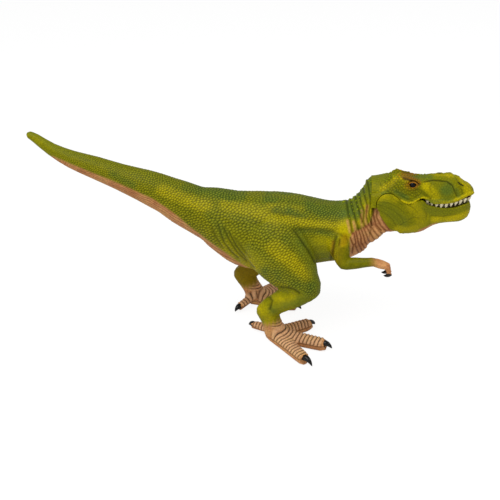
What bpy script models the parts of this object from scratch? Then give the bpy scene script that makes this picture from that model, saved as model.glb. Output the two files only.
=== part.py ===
# Toy dinosaur figure: a moulded two-legged meat eater with a lower jaw that opens on a hidden pin.
# Metres, +Z up, +X towards the snout, +Y to the figure's left.  The soles stand on z = 0.
# The body is a trunk moulding with a tail, a head, two legs and two arms plugged into it.

import bpy
import bmesh
from math import cos, pi, radians, sin, tan
from mathutils import Matrix, Vector

# Fits between neighbouring mouldings
SEAM_GAP = 0.0003          # clearance between two mouldings that are glued or pressed together
RUNNING_GAP = 0.0005       # clearance round the jaw where it turns
CUT_OVERRUN = 0.004        # how far a cutter runs past the face that it opens
MERGE_DISTANCE = 0.000002  # points nearer than this become one
SHARP_ANGLE = 40.0         # degrees, edges sharper than this are shaded as edges

# Trunk: torso and neck in one moulding
TRUNK_LENGTH = 0.1060      # from the tail seam to the neck seam
TRUNK_DEPTH = 0.0490       # tallest section, at the hips
TRUNK_WIDTH = 0.0440       # widest section, at the hips
BACK_HEIGHT = 0.0730       # height of the middle of the hips above the floor
HINGE_HEIGHT = 0.0998      # the jaw's hinge above the floor
HINGE_ABOVE_NECK = 0.0108  # the hinge above the middle of the neck
NECK_RISE = HINGE_HEIGHT - HINGE_ABOVE_NECK - BACK_HEIGHT   # the neck's middle above the hips'
TAIL_SEAM_X = -0.0300      # where the tail meets the trunk
THROAT_DEPTH = 0.0300      # from the jaw hinge down to the skin of the throat

# Tail
TAIL_LENGTH = 0.1106       # horizontal reach of the tail behind its seam
TAIL_ROOT_HEIGHT = 0.0818  # the middle of the root above the floor
TAIL_RISE = 0.0503         # how far the tail's tip is above its root
TAIL_ROOT_DEPTH = 0.0345
TAIL_ROOT_WIDTH = 0.0290
TAIL_PEG_LENGTH = 0.0120
TAIL_PEG_DEPTH = 0.0180
TAIL_PEG_WIDTH = 0.0140

# Head: skull and upper jaw in one moulding
HEAD_LENGTH = 0.0614       # from the neck seam to the snout
HEAD_DEPTH = 0.0200        # from the jaw hinge up to the skull roof
HEAD_WIDTH = 0.0272        # widest, across the cheeks
NECK_PEG_LENGTH = 0.0080
NECK_PEG_WIDTH = 0.0100
NECK_PEG_DEPTH = 0.0056
CORE_WALL = 0.0012         # least wall between the pin's hole and the neck's socket
HORN_HEIGHT = 0.0022
EYE_RADIUS = 0.0021
BROW_RADIUS = 0.0013
NOSE_BOSS_RADIUS = 0.0019
NOSTRIL_RADIUS = 0.0009
PALATE_RISE = 0.0030       # how far the roof of the mouth is above the lips
LIP_WALL = 0.0009          # between the lip's skin and the gum strip
HEAD_SKIN_STEP = 0.0008    # cell size at which the skull and its bumps are blended

# Jaw hinge
HINGE_SETBACK = 0.0098     # from the neck seam forward to the hinge
KNUCKLE_RADIUS = 0.0070
PIN_RADIUS = 0.0012
PIN_LENGTH = 0.0252
PIN_PLAY = 0.0001          # gap round the pin in its holes
JAW_OPENING = 28.0         # degrees
CORE_WIDTH = 0.0216        # the part of head and throat that stands between the jaw's cheeks
CORE_DROP = 0.0032         # how far the head's core reaches below the hinge

# Lower jaw
JAW_LENGTH = 0.0565        # from the back of the knuckles to the chin
JAW_DEPTH = 0.0206         # from the hinge down to the lowest point
JAW_WIDTH = 0.0268
JAW_WALL = 0.0022
TONGUE_LENGTH = 0.0205
TONGUE_WIDTH = 0.0090
TONGUE_DEPTH = 0.0036

# Teeth
TOOTH_HEIGHT = 0.0036
TOOTH_RADIUS = 0.0010
TOOTH_GAP = 0.0005         # least space between two teeth
LOWER_TOOTH_SHARE = 0.45   # how tall a lower tooth is beside an upper one
GUM_WIDTH = 0.0016
GUM_HEIGHT = 0.0020

# Legs
FOOT_SPREAD = 0.0440       # between the middles of the two feet, across
FOOT_OFFSET = 0.0036       # the feet stand this far to the left of the trunk's middle
STRIDE = 0.0170            # how far the right foot is ahead of the left
HOCK_LAG_SHARE = 0.20      # the left hock trails its foot by this share of the stride
HIP_SHARE = 0.434          # of the trunk's length, from the tail seam forward to the hips
HIP_SETBACK = TRUNK_LENGTH * HIP_SHARE
HIP_HEIGHT = BACK_HEIGHT
HIP_SPREAD_SHARE = 0.773   # of the trunk's width, between the middles of the two thighs
HIP_SPREAD = TRUNK_WIDTH * HIP_SPREAD_SHARE
FOOT_LEAD = 0.0025         # the right foot's middle is this far in front of the hips
FOOT_SETBACK = HIP_SETBACK + FOOT_LEAD
KNEE_SPREAD = 0.0500
HOCK_SPREAD = 0.0450
KNEE_HEIGHT = 0.0455
KNEE_REACH = 0.0224        # the right knee is this far in front of the hip
HOCK_HEIGHT = 0.0262
HOCK_SETBACK = 0.0050      # each hock is this far behind its foot's middle
INSTEP_HEIGHT = 0.0075     # where the toes leave the instep
THIGH_DEPTH = 0.0420
THIGH_WIDTH = 0.0250
SHANK_DEPTH = 0.0165
SHANK_WIDTH = 0.0150
ANKLE_DEPTH = 0.0140
ANKLE_WIDTH = 0.0115
TOE_LENGTH = 0.0345        # foot's middle to the root of the middle claw
TOE_WIDTH = 0.0100
TOE_HEIGHT = 0.0088
CLAW_LENGTH = 0.0078
CLAW_RADIUS = 0.0021
LEG_PEG_LENGTH = 0.0060    # how far the leg's peg stands inside the trunk
LEG_PEG_DEPTH = 0.0130
LEG_SKIN_STEP = 0.0012     # cell size at which a limb's segments are blended
SOLE_CUT = 0.0006          # how much of the pads is flattened on the floor

# Arms
SHOULDER_SHARE = 0.8066    # of the trunk's length, from the tail seam forward to the shoulder
SHOULDER_SETBACK = TRUNK_LENGTH * SHOULDER_SHARE
SHOULDER_RISE = 0.0030     # the shoulder above the middle of the hips
SHOULDER_HEIGHT = BACK_HEIGHT + SHOULDER_RISE
SHOULDER_SPREAD_SHARE = 0.75   # of the trunk's width, between the two shoulder joints
SHOULDER_SPREAD = TRUNK_WIDTH * SHOULDER_SPREAD_SHARE
ELBOW_DROP = 0.0141
ELBOW_REACH = 0.0055
ELBOW_SPREAD = 0.0420
WRIST_RISE = 0.0036
WRIST_REACH = 0.0180
WRIST_SPREAD = 0.0460
HAND_REACH = 0.0103
HAND_DROP = 0.0030
ARM_STAGGER = 0.0085       # the left hand is held this much further back
UPPER_ARM_DEPTH = 0.0130
FOREARM_DEPTH = 0.0058
ARM_PEG_RADIUS = 0.0022
ARM_PEG_LENGTH = 0.0042
ARM_SKIN_STEP = 0.0006     # cell size at which an arm's segments are blended
FINGER_LENGTH = 0.0046
FINGER_SIZE = 0.0027
FINGER_SPREAD = 0.0030     # between the two fingers
HAND_CLAW_LENGTH = 0.0036
HAND_CLAW_RADIUS = 0.0011

# Faces: shares of a blended skin's faces that are kept, and sides of the round sections
HEAD_KEEP_SHARE = 0.066
LEG_KEEP_SHARE = 0.050
ARM_KEEP_SHARE = 0.055
SKIN_SIDES = 22
THIGH_SIDES = 20
LIMB_SIDES = 16
FOREARM_SIDES = 12
FINGER_SIDES = 10
BROW_SIDES = 12
CLAW_SIDES = 8
TOOTH_SIDES = 6
TONGUE_SIDES = 12
PEG_SIDES = 16
GUM_STEPS = 8              # stretches of a straight side of a gum strip
NOSE_STEPS = 6             # stretches of its round from the straight side to the middle

# How square the sections are: 2 is an ellipse, and more fills the corners
JAW_SQUARENESS = 3.2
JAW_HOLLOW_SQUARENESS = 6.5
THROAT_SQUARENESS = 2.1
PALATE_SQUARENESS = 8.0
TONGUE_SQUARENESS = 2.6
PEG_SQUARENESS = 4.0

# Colour, roughness and metal share of each finish
FINISHES = {
    "skin_green": ((0.30, 0.33, 0.03, 1.0), 0.45, 0.0),
    "tooth_ivory": ((0.80, 0.74, 0.55, 1.0), 0.35, 0.0),
    "mouth_pink": ((0.55, 0.22, 0.18, 1.0), 0.40, 0.0),
    "pin_steel": ((0.60, 0.60, 0.62, 1.0), 0.30, 1.0),
}

# Trunk sections: along the trunk, middle above the hips' middle as a share of the neck's rise,
# height and width as shares of the tallest and widest section, and how square the section is.
TRUNK_SHARES = (
    (0.000, 0.510, 0.740, 0.690, 2.0),
    (0.085, 0.330, 0.850, 0.790, 2.0),
    (0.205, 0.070, 0.940, 0.910, 2.0),
    (0.330, 0.000, 0.985, 0.990, 2.1),
    (0.460, 0.000, 0.980, 1.000, 2.1),
    (0.580, 0.010, 0.935, 0.960, 2.1),
    (0.695, 0.020, 0.850, 0.890, 2.0),
    (0.760, 0.040, 0.800, 0.840, 2.0),
    (0.830, 0.090, 0.790, 0.780, 2.0),
    (0.890, 0.225, 0.815, 0.700, 2.0),
    (0.940, 0.510, 0.875, 0.640, 2.0),
    (0.975, 0.820, 0.925, 0.610, 2.0),
    (1.000, 0.945, 0.890, 0.590, 2.0),
)

# Tail sections: along, height of the middle as a share of the rise, depth and width shares.
TAIL_SHARES = (
    (0.000, 0.000, 1.000, 1.000),
    (0.066, 0.075, 0.900, 0.900),
    (0.137, 0.155, 0.815, 0.815),
    (0.205, 0.235, 0.715, 0.720),
    (0.274, 0.300, 0.668, 0.670),
    (0.343, 0.360, 0.610, 0.610),
    (0.480, 0.466, 0.490, 0.490),
    (0.617, 0.575, 0.418, 0.420),
    (0.753, 0.677, 0.325, 0.330),
    (0.864, 0.802, 0.226, 0.240),
    (0.950, 0.942, 0.160, 0.175),
    (0.985, 0.985, 0.120, 0.130),
)
TAIL_TIP_SHARE = 0.35      # the last section shrinks to this share over the rounded tip
TAIL_TURN_SHARE = 0.20     # over this share the sections turn from upright to square with the tail
TAIL_END_SHARE = 0.33      # of the last section's depth, how far the rounded tip stands behind it
PEG_ROOT_SHARE = 0.5       # of a peg's length, rooted in the moulding that carries it

# Skull sections: along the head, roof height, ridge height, ridge width, temple width and
# cheek width.  Heights are shares of the head's depth above the hinge, widths of its half width.
SKULL_SHARES = (
    (-0.050, 0.600, 0.440, 0.520, 0.880, 0.910),
    (0.060, 0.660, 0.520, 0.550, 0.900, 0.950),
    (0.150, 0.710, 0.610, 0.560, 0.900, 0.980),
    (0.230, 0.720, 0.680, 0.540, 0.860, 1.000),
    (0.330, 0.710, 0.680, 0.500, 0.780, 0.980),
    (0.430, 0.690, 0.640, 0.470, 0.660, 0.900),
    (0.540, 0.760, 0.600, 0.430, 0.620, 0.800),
    (0.640, 0.820, 0.620, 0.420, 0.610, 0.730),
    (0.740, 0.800, 0.620, 0.410, 0.590, 0.670),
    (0.830, 0.740, 0.560, 0.390, 0.560, 0.630),
    (0.910, 0.620, 0.460, 0.350, 0.500, 0.560),
    (0.965, 0.510, 0.370, 0.290, 0.410, 0.460),
    (1.000, 0.370, 0.260, 0.170, 0.260, 0.300),
)

# Points round half a skull section, from the roof down: which width and how much of it, then how
# much of the roof's and the ridge's heights, and a height of their own.
SKULL_POINT_SHARES = (
    ("ridge", 0.60, 0.75, 0.25, 0.00),
    ("ridge", 1.00, 0.00, 1.00, 0.00),
    ("temple", 1.00, 0.00, 0.55, 0.00),
    ("cheek", 1.00, 0.00, 0.00, 0.10),
    ("cheek", 0.98, 0.00, 0.00, -0.30),
)
SKULL_UNDERSIDE_SHARE = -0.42

# The upper lip from the mouth's corner to the snout: along the head, height above the hinge as
# a share of the head's depth.
LIP_SHARES = (
    (0.250, 0.245),
    (0.315, 0.125),
    (0.370, 0.090),
    (0.425, 0.150),
    (0.485, 0.245),
    (0.535, 0.250),
    (0.615, 0.165),
    (0.710, 0.135),
    (0.805, 0.150),
    (0.890, 0.245),
    (1.000, 0.255),
)

# Lower jaw seen from the side, along the lip and along the underside to the chin: along the
# jaw, height above the hinge as a share of the jaw's depth.
JAW_TOP_SHARES = (
    (0.225, 0.215),
    (0.290, 0.095),
    (0.350, 0.050),
    (0.420, 0.130),
    (0.490, 0.140),
    (0.545, 0.000),
    (0.620, -0.075),
    (0.715, -0.115),
    (0.785, -0.120),
    (0.855, -0.085),
    (0.925, -0.020),
    (0.985, 0.000),
)
JAW_BOTTOM_SHARES = (
    (0.040, -0.330),
    (0.105, -0.590),
    (0.165, -0.790),
    (0.240, -0.950),
    (0.330, -1.000),
    (0.430, -0.965),
    (0.530, -0.900),
    (0.600, -0.760),
    (0.680, -0.645),
    (0.790, -0.590),
    (0.910, -0.560),
    (0.978, -0.500),
    (1.000, -0.360),
    (1.000, -0.130),
)

# Lower jaw from above: along the jaw, half width as a share of the jaw's half width
JAW_SECTION_SHARES = (
    (-0.060, 0.990),
    (0.140, 1.000),
    (0.300, 1.000),
    (0.440, 0.930),
    (0.540, 0.800),
    (0.640, 0.715),
    (0.760, 0.635),
    (0.880, 0.550),
    (0.950, 0.450),
    (1.000, 0.240),
)
JAW_HOLLOW_END_SHARE = 0.950
JAW_LOWEST_SHARE = 0.330

# Places along the head and along the jaw where the rows of teeth start and end
UPPER_GUM_SHARES = (0.530, 0.905)
LOWER_GUM_SHARES = (0.560, 0.885)
GUM_NOSE_SHARE = 0.45      # how far a row bulges forward at the nose, of its half width there

# Bumps and hollows of the skull: along the head, out from the middle, up from the hinge, size
NOSE_BOSS_SHARES = (
    (0.570, 0.0, 0.745, 0.90),
    (0.650, 0.0, 0.790, 1.05),
    (0.735, 0.0, 0.785, 1.00),
    (0.820, 0.0, 0.715, 0.90),
)
BOSS_STRETCH_SHARES = (1.4, 1.3, 1.0)
BROW_SHARES = (
    (0.205, 0.290, 0.700, 1.30),
    (0.270, 0.390, 0.700, 1.05),
    (0.350, 0.470, 0.680, 1.00),
    (0.430, 0.500, 0.630, 0.85),
)
HORN_STRETCH_SHARES = (0.8, 0.6, 1.0)
EYE_SHARES = (0.380, 0.545, 0.565)
NOSTRIL_SHARES = (0.855, 0.450, 0.640)
NOSTRIL_STRETCH_SHARES = (2.0, 1.2, 1.0)
CHEEK_HOLLOW_SHARES = (0.640, 0.720, 0.400)
CHEEK_HOLLOW_SIZE_SHARES = (0.130, 0.170, 0.190)

# The throat under the head, as shares: place along the head, depth below the hinge, width
THROAT_SHARES = (
    (-0.12, 1.12, 0.92),
    (-0.05, 1.08, 0.98),
    (0.02, 1.00, 1.00),
    (0.09, 0.91, 1.00),
    (0.18, 0.80, 1.00),
    (0.38, 0.73, 1.00),
)
KNUCKLE_BACK_ANGLE = 197.0   # degrees round the hinge, where the head's edge starts to follow it
KNUCKLE_FRONT_ANGLE = 64.0   # where the lips leave the round knuckle
SWEEP_MARGIN = 3.0         # degrees that the jaw's edges stay clear of what they turn towards
JAW_FLOOR_ANGLE = -59.0    # degrees round the hinge, where the jaw's floor ends when shut
THROAT_FACE_ANGLE = -61.0  # the throat's front face, which the tongue never reaches

# Tongue: share along it, width share and depth share
TONGUE_SHARES = (
    (0.00, 0.80, 0.90),
    (0.30, 1.00, 1.00),
    (0.65, 0.86, 0.84),
    (0.88, 0.56, 0.60),
    (1.00, 0.20, 0.28),
)
TONGUE_START_SHARE = 0.500   # along the jaw

# Tooth: share along it from the gum and share of its radius
TOOTH_SHARES = (
    (-0.25, 1.00),
    (0.50, 0.75),
    (1.00, 0.14),
)
TOOTH_FLATNESS_SHARE = 0.85
TOOTH_HOOK_SHARE = 0.50    # how far a tooth's tip leans back, of its radius

# Leg: shares of the bone from one joint to the next, then depth and width shares
THIGH_SHARES = (
    (-0.40, 0.55, 0.60),
    (-0.20, 0.86, 0.88),
    (0.05, 1.00, 1.00),
    (0.35, 0.94, 0.98),
    (0.65, 0.78, 0.86),
    (0.90, 0.54, 0.74),
    (1.08, 0.44, 0.62),
    (1.22, 0.22, 0.36),
)
SHANK_SHARES = (
    (-0.16, 0.62, 0.60),
    (0.00, 1.00, 0.96),
    (0.25, 1.08, 1.00),
    (0.50, 0.98, 0.86),
    (0.75, 0.84, 0.70),
    (0.95, 0.82, 0.64),
    (1.10, 0.52, 0.44),
)
METATARSUS_SHARES = (
    (-0.22, 0.66, 0.60),
    (0.00, 1.06, 0.90),
    (0.35, 0.96, 0.88),
    (0.70, 0.92, 0.96),
    (1.00, 1.02, 1.20),
)

# Front toes from the inner to the outer one
RIGHT_TOE_ANGLES = (-33.0, 15.0, 51.0)   # degrees outwards
LEFT_TOE_ANGLES = (-15.0, 18.0, 50.0)
TOE_LENGTH_SHARES = (0.85, 1.00, 0.95)
TOE_SIZE_SHARES = (1.00, 1.06, 1.00)
TOE_BODY_SHARES = (
    (-0.16, 0.60, 0.62),
    (0.00, 1.02, 1.10),
    (0.25, 1.00, 1.04),
    (0.50, 0.94, 0.92),
    (0.75, 0.92, 0.86),
    (0.94, 0.84, 0.76),
    (1.03, 0.50, 0.46),
)
RIGHT_REAR_TOE_ANGLE = -148.0   # degrees outwards, so it points back and inwards
LEFT_REAR_TOE_ANGLE = -127.0
REAR_TOE_LENGTH_SHARE = 0.50
REAR_TOE_SIZE_SHARE = 0.62
REAR_TOE_DROOP_SHARE = 0.50  # of the instep's height
REAR_CLAW_SHARE = 0.75     # how long the rear claw is beside the front ones
CLAW_SEAT_SHARE = 0.25     # of a claw's length, inside its toe
CLAW_LIFT_SHARE = 0.10     # of a toe's height, from its middle up to its claw
CLAW_FLATNESS_SHARE = 0.80

# Claw: share along its length, share of its radius, and how far it droops
CLAW_SHARES = (
    (0.00, 1.00, 0.00),
    (0.30, 0.88, 0.03),
    (0.60, 0.62, 0.13),
    (0.85, 0.34, 0.28),
    (1.00, 0.12, 0.40),
)

# Arm: share along the bone, depth share, width share
UPPER_ARM_SHARES = (
    (-0.36, 0.55, 0.42),
    (-0.12, 0.98, 0.64),
    (0.25, 1.00, 0.66),
    (0.60, 0.82, 0.58),
    (0.90, 0.62, 0.50),
    (1.10, 0.36, 0.34),
)
FOREARM_SHARES = (
    (-0.12, 0.80, 0.80),
    (0.05, 1.16, 1.06),
    (0.40, 1.10, 1.00),
    (0.75, 0.86, 0.82),
    (1.00, 0.80, 0.78),
)
HAND_SHARES = (
    (-0.10, 0.60, 0.70),
    (0.20, 0.76, 0.90),
    (0.60, 0.72, 0.96),
    (0.95, 0.52, 0.72),
)
HAND_CLAW_DIRECTION_SHARES = (-0.45, 0.0, -1.0)   # back and down


def clear_scene():
    for old in list(bpy.data.objects):
        bpy.data.objects.remove(old, do_unlink=True)


def make_material(name):
    colour, roughness, metallic = FINISHES[name]
    material = bpy.data.materials.new(name)
    material.use_nodes = True
    shader = material.node_tree.nodes["Principled BSDF"]
    shader.inputs["Base Color"].default_value = colour
    shader.inputs["Roughness"].default_value = roughness
    shader.inputs["Metallic"].default_value = metallic
    return material


def add_object(name, mesh):
    made = bpy.data.objects.new(name, mesh)
    bpy.context.scene.collection.objects.link(made)
    return made


def between(values, spot, steps):
    """Catmull-Rom curve through rows of numbers, read at spot + a fraction of the next row."""
    last = len(values) - 1
    before, start = values[max(spot - 1, 0)], values[spot]
    end, after = values[min(spot + 1, last)], values[min(spot + 2, last)]
    rows = []
    for step in range(steps):
        t = step / steps
        rows.append(tuple(
            0.5 * (2 * b + (c - a) * t + (2 * a - 5 * b + 4 * c - d) * t * t
                   + (3 * b - a - 3 * c + d) * t * t * t)
            for a, b, c, d in zip(before, start, end, after)))
    return rows


def smooth_rows(values, steps):
    """The rows of a table with smooth rows in between."""
    rows = []
    for spot in range(len(values) - 1):
        rows.extend(between(values, spot, steps))
    rows.append(tuple(values[-1]))
    return rows


def read_table(table, where, column):
    """A column of a table at any place along its first column."""
    if where <= table[0][0]:
        return table[0][column]
    for low, high in zip(table, table[1:]):
        if where <= high[0]:
            part = (where - low[0]) / (high[0] - low[0])
            return low[column] + part * (high[column] - low[column])
    return table[-1][column]


def loft(name, rings):
    """Closed skin over rings of points, with a flat cap on each end."""
    mesh = bpy.data.meshes.new(name)
    shape = bmesh.new()
    made_rings = [[shape.verts.new(point) for point in ring] for ring in rings]
    for ring, following in zip(made_rings, made_rings[1:]):
        count = len(ring)
        for spot in range(count):
            beside = (spot + 1) % count
            shape.faces.new((ring[spot], ring[beside], following[beside], following[spot]))
    shape.faces.new(list(reversed(made_rings[0])))
    shape.faces.new(made_rings[-1])
    bmesh.ops.recalc_face_normals(shape, faces=shape.faces)
    if shape.calc_volume(signed=True) < 0:
        bmesh.ops.reverse_faces(shape, faces=shape.faces)
    shape.to_mesh(mesh)
    shape.free()
    return add_object(name, mesh)


def oval_ring(centre, across, upwards, half_width, half_height, squareness=2.0, sides=SKIN_SIDES):
    """Superellipse of points round a centre in the plane of two unit directions."""
    points = []
    power = 2.0 / squareness
    for spot in range(sides):
        angle = 2 * pi * spot / sides
        c, s = cos(angle), sin(angle)
        wide = abs(c) ** power * (1 if c >= 0 else -1)
        tall = abs(s) ** power * (1 if s >= 0 else -1)
        points.append(centre + across * (half_width * wide) + upwards * (half_height * tall))
    return points


def bone(name, start, end, shares, depth, width, aside=Vector((0, 1, 0)), sides=LIMB_SIDES, steps=2):
    """A limb segment from start to end: rows of shares along, then of the full depth and width."""
    start, end = Vector(start), Vector(end)
    run = end - start
    along = run.normalized()
    across = (aside - along * aside.dot(along)).normalized()
    upwards = along.cross(across)
    rings = []
    for spot, deep, wide in smooth_rows(shares, steps):
        rings.append(oval_ring(start + run * spot, across, upwards,
                               wide * width / 2, deep * depth / 2, sides=sides))
    return loft(name, rings)


def claw(name, root, forward, length, radius):
    """Curved claw that points forward and droops towards the floor."""
    forward = Vector(forward).normalized()
    down = Vector((0, 0, -1))
    across = forward.cross(down).normalized()
    rings = []
    for spot, size, droop in CLAW_SHARES:
        middle = Vector(root) + forward * (length * spot) + down * (length * droop)
        lean = (forward + down * droop).normalized()
        upwards = across.cross(lean)
        rings.append(oval_ring(middle, across, upwards, radius * size * CLAW_FLATNESS_SHARE,
                               radius * size, sides=CLAW_SIDES))
    return loft(name, rings)


def prism(name, outline, half_width):
    """A side outline of (x, z) points made as wide as twice half_width, centred on y = 0."""
    rings = [[Vector((x, y, z)) for x, z in outline] for y in (-half_width, half_width)]
    return loft(name, rings)


def cylinder(name, centre, radius, low, high):
    """Cylinder along Y through (x, z) from low to high."""
    rings = []
    for y in (low, high):
        middle = Vector((centre[0], y, centre[1]))
        rings.append(oval_ring(middle, Vector((1, 0, 0)), Vector((0, 0, 1)), radius, radius,
                               sides=PEG_SIDES))
    return loft(name, rings)


def settle(made):
    """Writes an object's modifiers into its mesh."""
    bpy.context.view_layer.update()
    evaluated = made.evaluated_get(bpy.context.evaluated_depsgraph_get())
    mesh = bpy.data.meshes.new_from_object(evaluated)
    made.modifiers.clear()
    made.data = mesh
    return made


def combine(made, other, operation, solver="EXACT"):
    """Boolean of two objects; the other one is used up."""
    step = made.modifiers.new(operation.lower(), "BOOLEAN")
    step.operation = operation
    step.solver = solver
    step.object = other
    settle(made)
    bpy.data.objects.remove(other, do_unlink=True)
    return made


def tidy(made, material):
    """Merges stray doubles, gives the object its one material and shades it."""
    shape = bmesh.new()
    shape.from_mesh(made.data)
    bmesh.ops.remove_doubles(shape, verts=shape.verts, dist=MERGE_DISTANCE)
    bmesh.ops.triangulate(shape, faces=shape.faces)
    shape.to_mesh(made.data)
    shape.free()
    made.data.materials.clear()
    made.data.materials.append(material)
    for face in made.data.polygons:
        face.material_index = 0
    made.data.shade_smooth()
    made.data.set_sharp_from_angle(angle=radians(SHARP_ANGLE))
    return made


def trunk_places(grow):
    """Middle, half width, half height and squareness of each trunk section."""
    places = []
    for along, rise, deep, wide, square in smooth_rows(TRUNK_SHARES, 2):
        x = TAIL_SEAM_X + TRUNK_LENGTH * along
        z = BACK_HEIGHT + NECK_RISE * rise
        places.append((x, z, TRUNK_WIDTH * wide / 2 + grow, TRUNK_DEPTH * deep / 2 + grow, square))
    root = (TAIL_SEAM_X, TAIL_ROOT_HEIGHT, TAIL_ROOT_WIDTH / 2 + grow, TAIL_ROOT_DEPTH / 2 + grow, 2.0)
    return [root] + places[1:]


def trunk_skin(name, grow=0.0):
    """Torso and neck as one loft, larger all round by grow."""
    rings = []
    for x, z, half_width, half_height, square in trunk_places(grow):
        rings.append(oval_ring(Vector((x, 0, z)), Vector((0, 1, 0)), Vector((0, 0, 1)),
                               half_width, half_height, square))
    return loft(name, rings)


def around_hinge(radius, angle):
    """Point in the side view at a radius and an angle in degrees round the jaw's hinge."""
    return (hinge_x() + radius * cos(radians(angle)), HINGE_HEIGHT + radius * sin(radians(angle)))


def hinge_x():
    return TAIL_SEAM_X + TRUNK_LENGTH + HINGE_SETBACK


def pin_hole():
    half_length = PIN_LENGTH / 2 + SEAM_GAP
    return cylinder("pin hole", (hinge_x(), HINGE_HEIGHT), PIN_RADIUS + PIN_PLAY, -half_length, half_length)


def hinge_arc(radius, start, end, steps=8):
    return [around_hinge(radius, start + (end - start) * step / steps) for step in range(steps + 1)]


def throat_radius():
    """The throat is turned to this radius round the hinge, so that the jaw's floor passes it."""
    return (JAW_DEPTH - JAW_WALL) / sin(radians(-JAW_FLOOR_ANGLE)) - 2 * RUNNING_GAP


def make_throat():
    """The plug that stands inside the jaw: skin of the throat, turned where the jaw passes."""
    seam = TAIL_SEAM_X + TRUNK_LENGTH
    rings = []
    for along, deep, wide in smooth_rows(THROAT_SHARES, 3):
        top = HINGE_HEIGHT
        bottom = HINGE_HEIGHT - THROAT_DEPTH * deep
        middle = Vector((seam + HEAD_LENGTH * along, 0, (top + bottom) / 2))
        rings.append(oval_ring(middle, Vector((0, 1, 0)), Vector((0, 0, 1)),
                               (CORE_WIDTH / 2 - SEAM_GAP) * wide, (top - bottom) / 2,
                               THROAT_SQUARENESS))
    throat = loft("throat", rings)
    swept_end = JAW_FLOOR_ANGLE - JAW_OPENING - SWEEP_MARGIN
    ceiling = HINGE_HEIGHT - CORE_DROP - SEAM_GAP
    back = seam - HINGE_SETBACK / 2
    face_top = (HINGE_HEIGHT - ceiling) / tan(radians(-THROAT_FACE_ANGLE))
    side = [(back, ceiling), (back, HINGE_HEIGHT - 2 * THROAT_DEPTH)]
    side.append((around_hinge(throat_radius(), swept_end)[0], HINGE_HEIGHT - 2 * THROAT_DEPTH))
    side.extend(hinge_arc(throat_radius(), swept_end, THROAT_FACE_ANGLE))
    side.append((hinge_x() + face_top, ceiling))
    return combine(throat, prism("throat side", side, CORE_WIDTH), "INTERSECT")


def oval_peg(name, seam, height, length, half_width, half_height, grow=0.0):
    """Peg along +X with a superellipse section, so that it can't turn in its socket."""
    rings = []
    for x in (seam - length * PEG_ROOT_SHARE - grow, seam + length + grow):
        rings.append(oval_ring(Vector((x, 0, height)), Vector((0, 1, 0)), Vector((0, 0, 1)),
                               half_width + grow, half_height + grow, PEG_SQUARENESS, PEG_SIDES))
    return loft(name, rings)


def tail_peg(grow=0.0):
    return oval_peg("tail peg", TAIL_SEAM_X, TAIL_ROOT_HEIGHT, TAIL_PEG_LENGTH,
                    TAIL_PEG_WIDTH / 2, TAIL_PEG_DEPTH / 2, grow)


def neck_peg(grow=0.0):
    height = HINGE_HEIGHT + PIN_RADIUS + CORE_WALL + NECK_PEG_DEPTH / 2
    return oval_peg("neck peg", TAIL_SEAM_X + TRUNK_LENGTH, height, NECK_PEG_LENGTH,
                    NECK_PEG_WIDTH / 2, NECK_PEG_DEPTH / 2, grow)


def leg_joints(side):
    """Hip, knee, hock and foot of a leg; side is -1 for the right and 1 for the left."""
    back = STRIDE if side > 0 else 0.0
    foot = Vector((TAIL_SEAM_X + FOOT_SETBACK - back, side * FOOT_SPREAD / 2 + FOOT_OFFSET, INSTEP_HEIGHT))
    hip = Vector((TAIL_SEAM_X + HIP_SETBACK, side * HIP_SPREAD / 2, HIP_HEIGHT))
    knee = Vector((hip.x + KNEE_REACH - back, side * KNEE_SPREAD / 2, KNEE_HEIGHT))
    hock = Vector((foot.x - HOCK_SETBACK - back * HOCK_LAG_SHARE, side * HOCK_SPREAD / 2, HOCK_HEIGHT))
    return hip, knee, hock, foot


def leg_peg(side, grow=0.0):
    """Square-cornered peg between a thigh and the trunk."""
    hip = leg_joints(side)[0]
    trunk_side = TRUNK_WIDTH / 2
    near = trunk_side - LEG_PEG_LENGTH - grow
    far = trunk_side + LEG_PEG_LENGTH / 2
    half = LEG_PEG_DEPTH / 2 + grow
    rings = []
    for y in sorted((side * near, side * far)):
        rings.append(oval_ring(Vector((hip.x, y, hip.z)), Vector((1, 0, 0)), Vector((0, 0, 1)),
                               half, half, PEG_SQUARENESS, PEG_SIDES))
    return loft("leg peg", rings)


def arm_joints(side):
    """Shoulder, elbow, wrist and knuckles of an arm."""
    shoulder = Vector((TAIL_SEAM_X + SHOULDER_SETBACK, side * SHOULDER_SPREAD / 2, SHOULDER_HEIGHT))
    elbow = Vector((shoulder.x + ELBOW_REACH, side * ELBOW_SPREAD / 2, SHOULDER_HEIGHT - ELBOW_DROP))
    held_back = ARM_STAGGER if side > 0 else 0.0
    wrist = Vector((elbow.x + WRIST_REACH - held_back, side * WRIST_SPREAD / 2, elbow.z + WRIST_RISE))
    knuckles = wrist + Vector((HAND_REACH, 0, -HAND_DROP))
    return shoulder, elbow, wrist, knuckles


def arm_peg(side, grow=0.0):
    shoulder = arm_joints(side)[0]
    near = SHOULDER_SPREAD / 2 - ARM_PEG_LENGTH - grow
    far = SHOULDER_SPREAD / 2 + ARM_PEG_LENGTH / 2
    low, high = sorted((side * near, side * far))
    return cylinder("arm peg", (shoulder.x, shoulder.z), ARM_PEG_RADIUS + grow, low, high)


def blend(made, step, keep_share):
    """Melts overlapping closed segments into one skin and thins its faces."""
    remesh = made.modifiers.new("blend", "REMESH")
    remesh.mode = "VOXEL"
    remesh.voxel_size = step
    relax = made.modifiers.new("relax", "SMOOTH")
    relax.factor = 0.5
    relax.iterations = 3
    thin = made.modifiers.new("thin", "DECIMATE")
    thin.ratio = keep_share
    return settle(made)


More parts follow.
